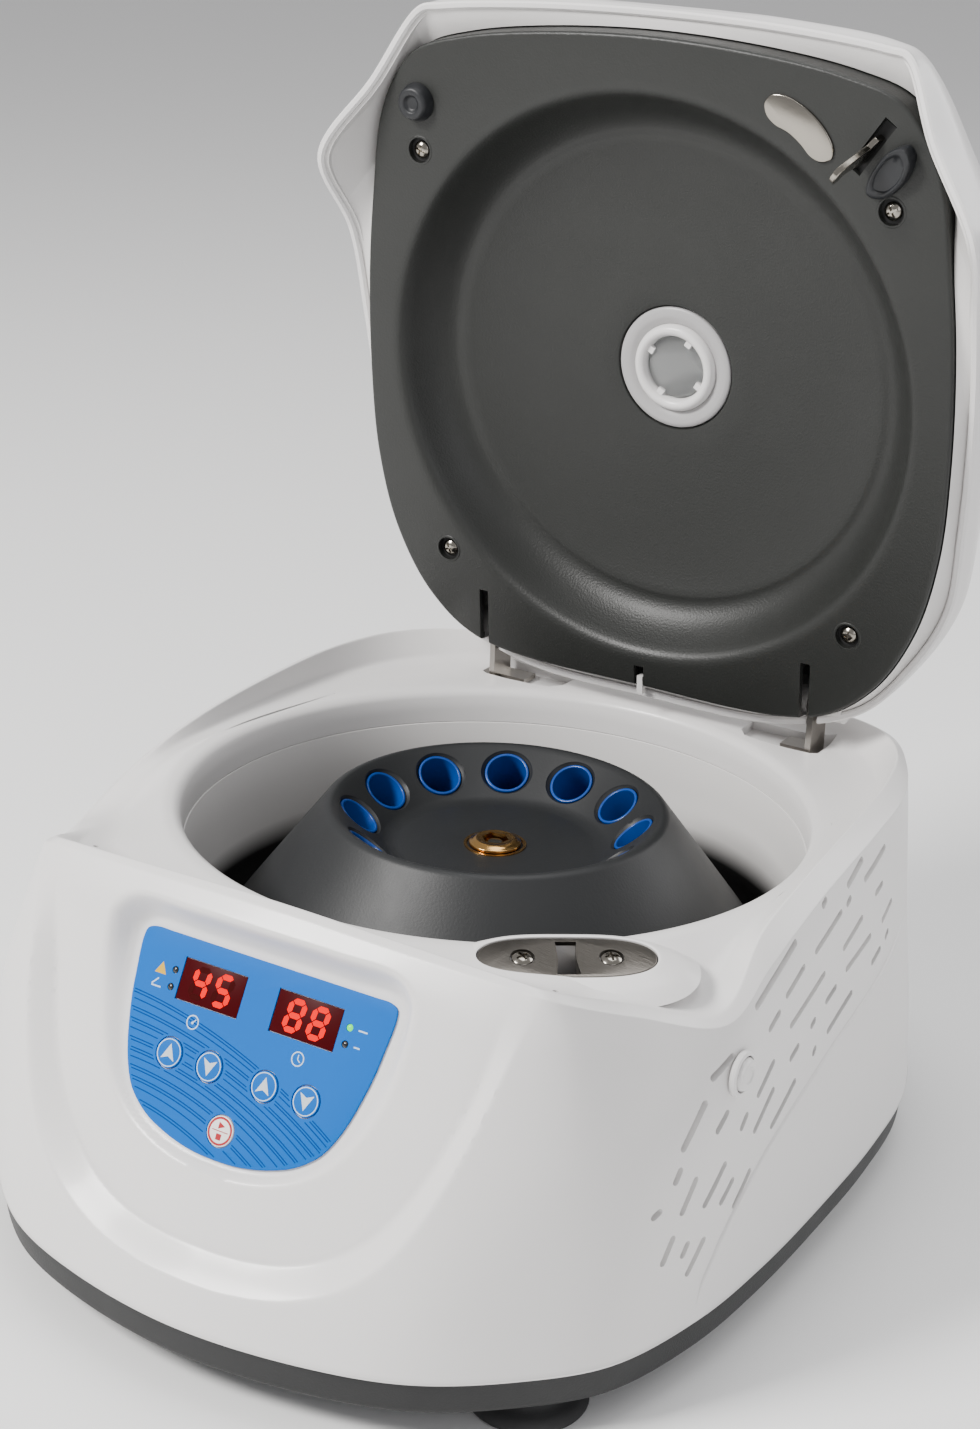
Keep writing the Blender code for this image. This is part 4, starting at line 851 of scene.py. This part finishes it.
    # keys
    for nm, (x, v) in keys.items():
        body = {"key_speed_up": "speed_up_key", "key_speed_down": "speed_down_key", "key_time_up": "time_up_key", "key_time_down": "time_down_key",
                "key_run_stop": "run_stop_key"}[nm]
        V, F = prism(disc(x, v, 5.0, 56), -2.2, 0.3, None, bevel=0.35)
        V = V @ PF[:3, :3].T + PF[:3, 3]
        finish_piece(to_obj(nm + "_cap", V, F, M["print_white" if nm == "key_run_stop" else "panel"]), body, [nm])
        if nm == "key_run_stop":
            in_panel([ribbon(disc(x, v, 4.25, 56), 0.75, 0.335, closed=True), ribbon([(x - 3.1, v), (x + 3.1, v)], 0.28, 0.33)], nm + "_ring", "print_red", body)
            in_panel([prism([(x - 1.0, v - 2.9), (x + 1.5, v - 1.75), (x - 1.0, v - 0.6)], 0.1, 0.33),
                      prism([(x - 1.0, v + 0.9), (x + 1.0, v + 0.9), (x + 1.0, v + 2.9), (x - 1.0, v + 2.9)], 0.1, 0.33)], nm + "_sign", "print_red", body)
        else:
            in_panel([ribbon(disc(x, v, 4.45, 56), 0.34, 0.335, closed=True)], nm + "_ring", "print_pale", body)
            s = 1 if nm.endswith("up") else -1
            tri = [(x, v - s * 3.1), (x + 2.7, v + s * 2.4), (x, v + s * 1.2), (x - 2.7, v + s * 2.4)]
            in_panel([prism(tri, 0.1, 0.33)], nm + "_arrow", "print_grey", body)


# ------------------------------------------------------------------ latch and hinge metal
def phillips(name, at, body, node, r=3.4, h=1.5, lid=False, shank=14.0, frame_m=None, material="bright"):
    prof = round_profile([(0, h * 1.06), (r * 0.55, h), (r, h * 0.35), (r, 0), (1.5, 0), (1.5, -shank), (0, -shank)], [0, 0.8, 0.3, 0.1, 0, 0, 0])
    V, F = turned(prof, 40)
    A = np.eye(4) if frame_m is None else np.array(frame_m, float).copy()
    A[:3, 3] = A[:3, 3] + A[:3, :3] @ np.array(at, float) if frame_m is not None else np.array(at, float)
    V2 = V @ A[:3, :3].T + A[:3, 3]
    o = to_obj(name, V2, F, M[material], lid=lid)
    tools = []
    rot = rng.uniform(0, math.pi / 2)
    for k in range(2):
        a = rot + k * math.pi / 2
        R = np.eye(4)
        R[:2, :2] = [[math.cos(a), -math.sin(a)], [math.sin(a), math.cos(a)]]
        tools.append(boxv((-r * 0.60, -0.42, h * 0.35), (r * 0.60, 0.42, h * 2), A @ R))
    for t in tools:
        carve(o, [t], lid=lid)
    finish_piece(o, body, [node])
    return o


def build_latch():
    V, F = prism(lens(28.7, 9.8, 0.62, 128), -1.5, 0.0, LF, bevel=0.35)
    o = to_obj("latch_plate_brushed", V, F, M["steel"])
    slot = [(-3.4, -7.8), (3.4, -7.8), (3.0, -2.0), (3.0, 2.0), (3.8, 8.6), (-3.8, 8.6), (-3.0, 2.0), (-3.0, -2.0)]
    carve(o, [prism(slot, -5, 5, LF)] + [prism(disc(s, 0, 4.0, 32), -5, 5, LF) for s in (-14.2, 14.2)])
    finish_piece(o, "machine", ["latch_plate"])
    # moulded rim that carries the deck up to the plate's edge
    n = 128
    L0, L1, L2 = (np.array(lens(a, b, 0.62, n)) for a, b in ((29.12, 10.22), (29.9, 10.9), (31.2, 11.9)))
    L3 = np.array(lens(43.0, 21.0, 0.62, n))
    L3[:, 1] = np.where(L3[:, 1] < 0, L3[:, 1] * 12.6 / 21.0, L3[:, 1])
    rows = [np.c_[L0, np.full(n, -1.75)], np.c_[L0, np.full(n, 0.05)], np.c_[(L0 + L1) / 2, np.full(n, 0.28)], np.c_[L1, np.full(n, 0.28)],
            np.c_[L2, np.full(n, -0.15)], np.c_[(L2 * 2 + L3) / 3, np.full(n, -1.05)], np.c_[(L2 + L3 * 2) / 3, np.full(n, -2.5)], np.c_[L3, np.full(n, -4.6)], np.c_[L1, np.full(n, -5.2)]]
    V, F = grid(rows, closed_rows=True)
    V = V @ LF[:3, :3].T + LF[:3, 3]
    finish_piece(to_obj("latch_rim", V, F, M["white"], sharp=55), "machine")
    # folded slot cheeks
    cheeks = []
    for s in (-1, 1):
        cheeks.append(boxv((min(s * 3.45, s * 3.8), -7.9, -7.0), (max(s * 3.45, s * 3.8), 8.9, -1.55), LF))
    V, F = joined(cheeks)
    finish_piece(to_obj("latch_cheeks", V, F, M["steel_x"]), "machine")
    for s, nm in ((-14.2, "left"), (14.2, "right")):
        prof_ring, _ = turned([(3.9, -0.05), (3.2, -0.9), (3.2, -1.5), (3.9, -1.5)], 40, centre=(s, 0))
        phillips("latch_screw_%s_head" % nm, (s, 0, -0.9), "machine", "latch_screw_" + nm, r=3.5, h=1.5, shank=6.0, frame_m=LF)
    for nm in ("hinge_strap_left", "hinge_strap_right"):
        n = frame["nodes"][nm]
        b = n.modifiers.new("edge", 'BEVEL')
        b.width, b.segments, b.limit_method, b.angle_limit = 0.0004, 2, 'ANGLE', math.radians(40)


def build_release():
    prof = round_profile([(0, 118), (3.0, 118), (3.0, 133), (5.6, 133), (5.7, 139.4), (4.9, 140.9), (3.2, 141.2), (2.6, 140.6), (0, 140.6)],
                         [0, 0, 0, 0.3, 0.8, 0.5, 0.3, 0.3, 0])
    V, F = turned(prof, 48, centre=(-72.3, 107.0), axis=XF)
    o = to_obj("release_cap", V, F, M["white"])
    finish_piece(o, "release", ["release_plug"])
    V, F = turned([(6.25, 137.2), (7.6, 137.4), (7.9, 138.4), (7.5, 139.2), (6.25, 139.5)], 48, centre=(-72.3, 107.0), axis=XF)
    finish_piece(to_obj("release_collar", V, F, M["white"]), "machine")


# ------------------------------------------------------------------ rotor
def build_rotor():
    prof = round_profile([(9.0, 121.0), (9.0, 124.0), (37, 124.0), (40.5, 125.0), (58.2, 138.8), (60.2, 139.8), (62.4, 139.0), (94, 97), (101, 87), (102.5, 83),
                          (102.5, 77), (101, 75.5), (72, 75.5), (42, 112), (20, 112), (18, 76.6), (6.4, 76.6), (6.4, 121.0)],
                         [0.3, 0.8, 3.0, 2.5, 1.6, 1.3, 1.8, 6, 4, 2, 1.0, 1.0, 2, 2, 0, 0, 0, 0], 5)
    V, F = turned(prof, 180)
    o = to_obj("rotor_body", V, F, M["rotor"], sharp=40)
    tools = []
    for k in range(12):
        fr = tube_axis(k)
        tv, tf = turned([(0, -62.3), (8.7, -62.3), (8.7, -0.9), (9.5, -0.1), (9.9, 0.6), (9.9, 11), (0, 11)], 40, axis=fr)
        tools.append((tv, tf))
    carve(o, tools, sharp=32)
    finish_piece(o, "rotor_group", ["rotor"])
    for k in range(12):
        fr = tube_axis(k)
        prof = round_profile([(0, -62), (6.4, -62), (8.4, -59.5), (8.4, -0.3), (7.3, -0.3), (7.25, -59.5), (5.0, -60.5), (0, -60.8)], [0, 1, 1, 0.45, 0.45, 1, 1, 0], 3)
        V, F = turned(prof, 48, axis=fr)
        o = to_obj("sleeve_%02d" % (k + 1), V, F, M["sleeve"])
        finish_piece(o, "rotor_group", ["tube_sleeve_%02d" % (k + 1)])
    prof = round_profile([(0, 121.3), (8.6, 121.3), (8.6, 124.3), (9.6, 124.3), (9.6, 125.3), (8.7, 125.7), (7.9, 126.2), (6.9, 126.6), (5.9, 126.4), (0, 126.4)],
                         [0, 0, 0, 0.2, 0.3, 0.3, 0.3, 0.3, 0.2, 0])
    V, F = turned(prof, 72)
    o = to_obj("nut_brass", V, F, M["brass"])
    hexa = [(5.0 * math.cos(math.pi / 3 * i + 0.3), 5.0 * math.sin(math.pi / 3 * i + 0.3)) for i in range(6)]
    carve(o, [prism(hexa, 122.6, 130)])
    finish_piece(o, "rotor_group", ["rotor_nut"])
    V, F = turned([(0, 122.0), (3.2, 122.0), (3.2, 124.6), (2.6, 125.2), (0, 125.3)], 32)
    finish_piece(to_obj("shaft_tip", V, F, M["bright"]), "rotor_group")
    V, F = turned([(9.8, 123.6), (10.4, 124.35), (11.4, 124.35), (11.4, 123.6)], 64)
    finish_piece(to_obj("nut_washer", V, F, M["brass"]), "rotor_group")


# ------------------------------------------------------------------ lid
def build_lid():
    S = 12
    e, lo, mi, hi = (ring(h, S) for h in (LE, LL, LM, LH))
    c1 = circ(hi, 52, 203.6)
    outer = rows_cr([e, lo, mi, hi, c1], 12)
    rim_in = inset(e, 2.6)
    below = outer[1]
    rows = [inset(e, 3.0) + np.array([0, 0, 6.0]), inset(e, 3.0) + np.array([0, 0, 0.9]), inset(e, 2.2) + np.array([0, 0, 0.05]), inset(e, 0.7), e + np.array([0, 0, 0.7])] + outer[1:]
    rows += [circ(hi, r, z) for r, z in ((36, 204.7), (24, 205.3), (19, 205.4), (17.6, 205.2), (16.7, 204.5), (16.2, 203.2), (16.2, 176.2), (17.0, 175.8), (21.0, 175.8), (21.0, 201.6))]
    rows += [circ(hi, 50, 200.4), inset(hi, 1.0) - np.array([0, 0, 3.2]), inset(mi, 2.6) - np.array([0, 0, 2.2]), inset(lo, 3.0) - np.array([0, 0, 0.8])]
    V, F = grid(rows, closed_rows=True)
    o = to_obj("lid_cover", V, F, M["white"], sharp=None, lid=True)
    tools = []
    for s in (-1, 1):
        tools.append(boxv((min(s * 69.2, s * 73.4), 108, 140), (max(s * 69.2, s * 73.4), 140, 170.5)))
    carve(o, tools, lid=True, sharp=40)
    finish_piece(o, "lid", ["lid_shell"])
    # rod bosses and screw posts inside the cover
    parts = []
    for s in (-1, 1):
        for i, (x0, x1) in enumerate(((60, 68.6), (74.0, 82.6))):
            prof = [(HY + 6.2 * math.cos(a), HZ + 6.2 * math.sin(a)) for a in np.linspace(math.radians(160), math.radians(380), 22)]
            prof += [(HY + (7.6 if i == 0 else 5.4), 168.0), (HY - 6.0, 168.0)]
            parts.append(prism(prof, min(s * x0, s * x1), max(s * x0, s * x1), XF))
        for x, y, t in ((96.3, -77.7, 184.0), (87.7, 82.2, 186.0)):
            parts.append(prism(disc(s * x, y, 5.6, 28), 147.9, t))
    V, F = joined(parts)
    finish_piece(to_obj("lid_bosses", V, F, M["white_in"], lid=True), "lid")
    o1 = ring(LN, S) + np.array([0, 0, 1.4])
    g = smooth01((-o1[:, 1] - 50.0) / 60.0)
    lg = inset(o1, -0.5)
    lg[:, 2] = LZ + 2.2 + 8.0 * g
    eo = inset(e, 3.05)
    eo[:, 2] = e[:, 2] + 1.6
    th = np.array([0, 0, 1.2])
    V, F = grid([eo, lg, lg + th, eo + th], closed_rows=True)
    led = to_obj("lid_ledge", V, F, M["white_in"], sharp=40, lid=True)
    carve(led, tools, lid=True, sharp=40)
    finish_piece(led, "lid")
    # inner lip that runs round inside the cover's edge
    r0, r1 = inset(e, 3.05), inset(e, 4.3)
    up = np.array([0, 0, 1.0])
    V, F = grid([r0 + up * 2.2, r0 + up * 7.5, r1 + up * 7.5, r1 + up * 2.2], closed_rows=True)
    lip = to_obj("lid_inner_lip", V, F, M["white_in"], lid=True)
    carve(lip, tools, lid=True)
    finish_piece(lip, "lid")

    # liner
    ln = ring(LN, S)
    o1 = ln + up * 1.4
    f = smooth01((-o1[:, 1] - 50.0) / 60.0)
    wall = o1.copy()
    wall[:, 2] = LZ + 3.4 + 8.0 * f
    wall_in = inset(o1, 2.0)
    wall_in[:, 2] = wall[:, 2]
    face_key = [wall_in, wall, o1, inset(ln, 1.1) + up * 0.0, circ(ln, 112.0, LZ)]
    rows = [wall_in] + fillet_rows([wall, ln, circ(ln, 113.0, LZ)], [0, 1.5, 0], 4)
    prof = [(111.6, 0.0), (109.6, 0.25), (107.9, 1.1), (106.6, 2.6), (105.2, 4.8), (103.4, 7.6), (101.2, 10.6), (98.8, 13.3), (96.2, 15.5), (93.4, 17.1), (91.4, 17.6), (90.3, 17.5),
            (89.0, 17.6), (86.5, 18.4), (80, 20.2), (70.0, 22.4), (58, 24.0), (45.0, 25.1), (34, 25.7), (26.0, 25.9), (24.4, 26.2), (24.0, 27.0)]
    rows += [circ(ln, r, LZ + h) for r, h in prof]
    back = [(24.0, 28.5), (45.5, 27.7), (71.0, 25.4), (91.5, 21.4), (101.2, 15.8), (107.4, 7.2), (110.8, 3.0), (113.0, 2.5)]
    rows += [circ(ln, r, LZ + h) for r, h in back]
    rows += [inset(o1, 2.2) * np.array([1, 1, 0]) + np.array([0, 0, LZ + 2.5])]
    V, F = grid(rows, closed_rows=True)
    o = to_obj("liner", V, F, M["liner"], sharp=None, lid=True)
    tools = []
    for s in (-1, 1):
        x0, x1 = min(s * 69.3, s * 73.3), max(s * 69.3, s * 73.3)
        tools.append(boxv((x0, 97, 130), (x1, 140, 160)))
        for x, y in ((96.3, -77.7), (87.7, 82.2)):
            tools.append(prism(disc(s * x, y, 4.7, 40), 130, 160))
    tools.append(boxv((-2.1, 114.3, 130), (2.1, 140, 160)))
    tools.append(boxv((1.0, -20, -2.6), (23.0, 20, 2.6), HF))
    carve(o, tools, lid=True, sharp=40)
    finish_piece(o, "lid", ["lid_liner"])
    # raised rims round the screw wells
    parts = []
    for s in (-1, 1):
        for x, y in ((96.3, -77.7), (87.7, 82.2)):
            parts.append(turned(round_profile([(4.7, LZ + 0.5), (4.7, LZ - 0.22), (5.5, LZ - 0.18), (5.9, LZ + 0.5)], [0, 0.2, 0.3, 0]), 40, centre=(s * x, y)))
    V, F = joined(parts)
    finish_piece(to_obj("screw_well_rims", V, F, M["liner"], lid=True), "lid")
    # painted shade: near-black discs laid in the screw wells where shade falls
    parts = []
    for s in (-1, 1):
        for x, y in ((96.3, -77.7), (87.7, 82.2)):
            parts.append(turned([(0, LZ + 2.45), (4.6, LZ + 2.45), (4.6, LZ + 2.05), (0, LZ + 2.05)], 40, centre=(s * x, y)))
    V, F = joined(parts)
    finish_piece(to_obj("screw_well_shade_discs", V, F, M["dark"], lid=True), "lid")
    flip = np.diag([1.0, -1.0, -1.0, 1.0])
    for s, sd in ((-1, "left"), (1, "right")):
        for (x, y), fr in (((96.3, -77.7), "front"), ((87.7, 82.2), "rear")):
            A = flip.copy()
            A[:3, 3] = (s * x, y, LZ + 2.0)
            phillips("lid_screw_%s_%s_head" % (fr, sd), (0, 0, 0), "lid", "lid_screw_%s_%s" % (fr, sd), r=3.3, h=1.7, lid=True, shank=12.0, frame_m=A)
    # small pale tab in the middle slot
    V, F = boxv((-1.2, 119.0, LZ + 1.0), (1.2, 126.5, LZ + 3.5))
    finish_piece(to_obj("middle_tab", V, F, M["white_in"], lid=True), "lid")

    # polished kidney plate
    kid = cr_closed([(x, -s, 0.0) for x, s in ((47.6, 110.6), (50.6, 113.3), (55.5, 113.2), (61.0, 111.0), (66.5, 107.4), (71.2, 102.6), (74.0, 97.2), (73.4, 93.3), (69.8, 91.8),
                                               (65.6, 93.3), (61.6, 97.2), (57.0, 100.6), (51.6, 102.9), (48.2, 106.2))], 8)[:, :2]
    flipz = np.diag([1.0, 1.0, -1.0, 1.0])
    flipz[2, 3] = LZ
    V, F = prism(kid, -0.2, 1.0, flipz, bevel=0.5)
    o = to_obj("kidney_plate", V, F, M["bright"], lid=True, sharp=50)
    finish_piece(o, "lid", ["strike_plate"])

    # hook blade, polished
    hook = [(5, -9), (16, -9), (16, 1.5), (14.6, 2.9), (12.9, 4.0), (12.1, 6.4), (11.3, 9.6), (9.9, 13.6), (8.3, 17.8), (7.1, 20.1), (5.6, 20.9), (3.4, 20.8), (1.8, 19.6), (0.6, 17.6),
            (1.6, 15.9), (3.6, 14.5), (4.4, 12.0), (5, 8)]
    V, F = prism(hook, -1.1, 1.1, None)
    V = V @ HF[:3, :3].T + HF[:3, 3]
    o = to_obj("hook_blade", V, F, M["bright"], lid=True, sharp=35)
    b = o.modifiers.new("edge", 'BEVEL')
    b.width, b.segments, b.limit_method, b.angle_limit = 0.00035, 2, 'ANGLE', math.radians(40)
    finish_piece(o, "lid", ["latch_hook"])
    V, F = boxv((-0.4, -1.6, 1.15), (17.5, 6.5, 2.2), HF)
    # painted shade: a near-black block fills the hook's slot through the liner
    V2, F2 = boxv((-0.4, -8.5, -2.6), (21.3, -3.2, 2.6), HF)
    finish_piece(to_obj("hook_slot_shade_block", V2, F2, M["dark"], lid=True), "lid")

    # bumpers
    out = cr_closed([(x, y, 0.0) for x, y in ((87.0, -82.6), (87.6, -87.6), (91.5, -94.2), (97.0, -99.8), (102.2, -101.2), (104.4, -97.6), (103.0, -91.6), (98.8, -85.8), (93.0, -81.8))], 8)
    lf = LF
    ez = lf[:3, 2]

    def landing(P, off):
        return 140.9 + off - (ez[0] * (P[:, 0] - 84.4) + ez[1] * (P[:, 1] + 93.4)) / ez[2]
    c = out.mean(0)
    rows = []
    for k, off in ((1.0, None), (0.985, 2.2), (0.95, 1.35), (0.86, 1.0), (0.76, 1.0), (0.70, 1.3), (0.66, 1.9), (0.40, 2.1)):
        R = c + (out - c) * np.array([k, k, 1])
        R[:, 2] = (LZ - 0.1) if off is None else np.minimum(landing(R, off), LZ - 0.4)
        rows.append(R)
    V, F = grid(rows)
    o = to_obj("bumper_pad", V, F, M["bumper"], lid=True, sharp=50)
    finish_piece(o, "lid", ["bumper_right"])
    prof = round_profile([(0, 141.6), (2.2, 141.5), (2.9, 140.9), (3.4, 140.25), (5.2, 140.2), (6.0, 140.9), (6.5, 142.2), (7.3, LZ - 0.15), (0, LZ - 0.15)], [0, 0.3, 0.3, 0.4, 0.5, 0.5, 0.5, 0.2, 0])
    V, F = turned(prof, 48, centre=(-96.6, -95.9))
    finish_piece(to_obj("bumper_cup", V, F, M["bumper"], lid=True), "lid", ["bumper_left"])

    # viewing window: pale surround, raised ring, lens
    V, F = turned(round_profile([(17.0, 172.2), (19.5, 170.9), (22.2, 170.7), (23.6, 171.3), (23.6, 173.4), (17.0, 173.4)], [0.4, 1, 1, 0.6, 0, 0]), 72)
    finish_piece(to_obj("window_surround", V, F, M["frost"], lid=True), "lid")
    V, F = turned(round_profile([(12.4, 171.6), (13.0, 169.6), (14.6, 168.8), (16.2, 169.4), (17.0, 171.2), (17.0, 173.2), (12.4, 173.2)], [0.3, 0.8, 0.9, 0.9, 0.5, 0, 0], 4), 72)
    o = to_obj("window_ring", V, F, M["white"], lid=True)
    finish_piece(o, "lid", ["window_bezel"])
    V, F = turned([(0, 170.7), (5, 170.9), (9, 171.5), (11.6, 172.3), (12.3, 173.3), (15.6, 173.4), (15.6, 175.7), (0, 175.7)], 72)
    finish_piece(to_obj("window_glass", V, F, M["glass"], lid=True), "lid", ["window_lens"])
    V, F = turned([(0, 203.0), (16.0, 203.0), (16.0, 203.9), (0, 204.3)], 64)
    finish_piece(to_obj("window_cap", V, F, M["frost"], lid=True), "lid")
    parts = []
    for k in range(4):
        a = math.radians(30 + 90 * k)
        R = np.eye(4)
        R[:2, :2] = [[math.cos(a), -math.sin(a)], [math.sin(a), math.cos(a)]]
        parts.append(boxv((10.4, -1.3, 170.6), (12.8, 1.3, 172.4), R))
    V, F = joined(parts)
    finish_piece(to_obj("window_clips", V, F, M["white"], lid=True), "lid")


# ------------------------------------------------------------------ rear inlet trim
def build_rear():
    n = frame["nodes"]["power_inlet"]
    b = n.modifiers.new("edge", 'BEVEL')
    b.width, b.segments, b.limit_method, b.angle_limit = 0.0005, 2, 'ANGLE', math.radians(40)
    parts = []
    YF = np.array([[1, 0, 0, 0], [0, 0, 1, 0], [0, 1, 0, 0], [0, 0, 0, 1.0]])
    for x in (-55.5, -44.5):
        parts.append(boxv((x - 1.1, 47.0, 152.5), (x + 1.1, 50.0, 164.0), YF))
    V, F = joined(parts)
    finish_piece(to_obj("inlet_blades", V, F, M["bright"]), "machine")


house = build_housing()
for side in (1, -1):
    surface_bead(house, side)
build_base()
build_bowl()
build_panel()
build_latch()
build_release()
build_rotor()
build_lid()
build_rear()

for name, o in frame["nodes"].items():
    if o.hide_render:
        continue
    o.data.materials.clear()
    o.data.materials.append(M[BY_SLOT[SLOT_OF[name]]])

# ------------------------------------------------------------------ stage, lights, camera
def plane(name, size, z, rgb, rough):
    me = bpy.data.meshes.new(name)
    s = size / 2
    me.from_pydata([(-s, -s, z), (s, -s, z), (s, s, z), (-s, s, z)], [], [(0, 1, 2, 3)])
    o = bpy.data.objects.new(name, me)
    bpy.context.scene.collection.objects.link(o)
    m = bpy.data.materials.new(name)
    m.use_nodes = True
    bs = m.node_tree.nodes["Principled BSDF"]
    bs.inputs["Base Color"].default_value = (*rgb, 1)
    bs.inputs["Roughness"].default_value = rough
    me.materials.append(m)
    return o


plane("floor", 12.0, 0.0, (0.90, 0.90, 0.895), 0.6)


def area(name, loc, target, size, power, rgb=(1, 1, 1), size_y=None):
    l = bpy.data.lights.new(name, 'AREA')
    l.shape = 'RECTANGLE'
    l.size, l.size_y = size, size_y or size
    l.energy = power
    l.color = rgb
    o = bpy.data.objects.new(name, l)
    bpy.context.scene.collection.objects.link(o)
    o.location = loc
    d = Vector(target) - Vector(loc)
    o.rotation_euler = d.to_track_quat('-Z', 'Y').to_euler()
    return o


area("key", (-0.9, -1.3, 1.5), (0, 0, 0.15), 0.6, 68, (1.0, 0.985, 0.965))
area("fill", (1.6, -1.1, 0.9), (0, 0, 0.15), 1.1, 6, (0.95, 0.95, 1.0))
area("top", (0.1, 0.3, 1.9), (0, 0, 0.1), 1.0, 14)
area("rim", (0.9, 1.4, 1.0), (0, 0, 0.25), 0.9, 12)

w = bpy.data.worlds.new("studio")
bpy.context.scene.world = w
w.use_nodes = True
bg = w.node_tree.nodes["Background"]
bg.inputs[0].default_value = (0.97, 0.965, 0.98, 1)
bg.inputs[1].default_value = 0.52

r = Vector((0.8473, 0.5300, 0.0337))
b = Vector((0.4843, -0.7972, 0.3603)).normalized()
r = (r - b * r.dot(b)).normalized()
u = b.cross(r)
C = Vector((433.9, -721.0 + Y0, 499.5)) * MM
cam = bpy.data.cameras.new("cam")
cam.lens, cam.sensor_width, cam.sensor_fit = 2524.24 / 1429 * 36, 36, 'AUTO'
cam.clip_start, cam.clip_end = 0.02, 50
co = bpy.data.objects.new("cam", cam)
bpy.context.scene.collection.objects.link(co)
co.matrix_world = Matrix(((r.x, u.x, b.x, C.x), (r.y, u.y, b.y, C.y), (r.z, u.z, b.z, C.z), (0, 0, 0, 1)))
bpy.context.scene.camera = co
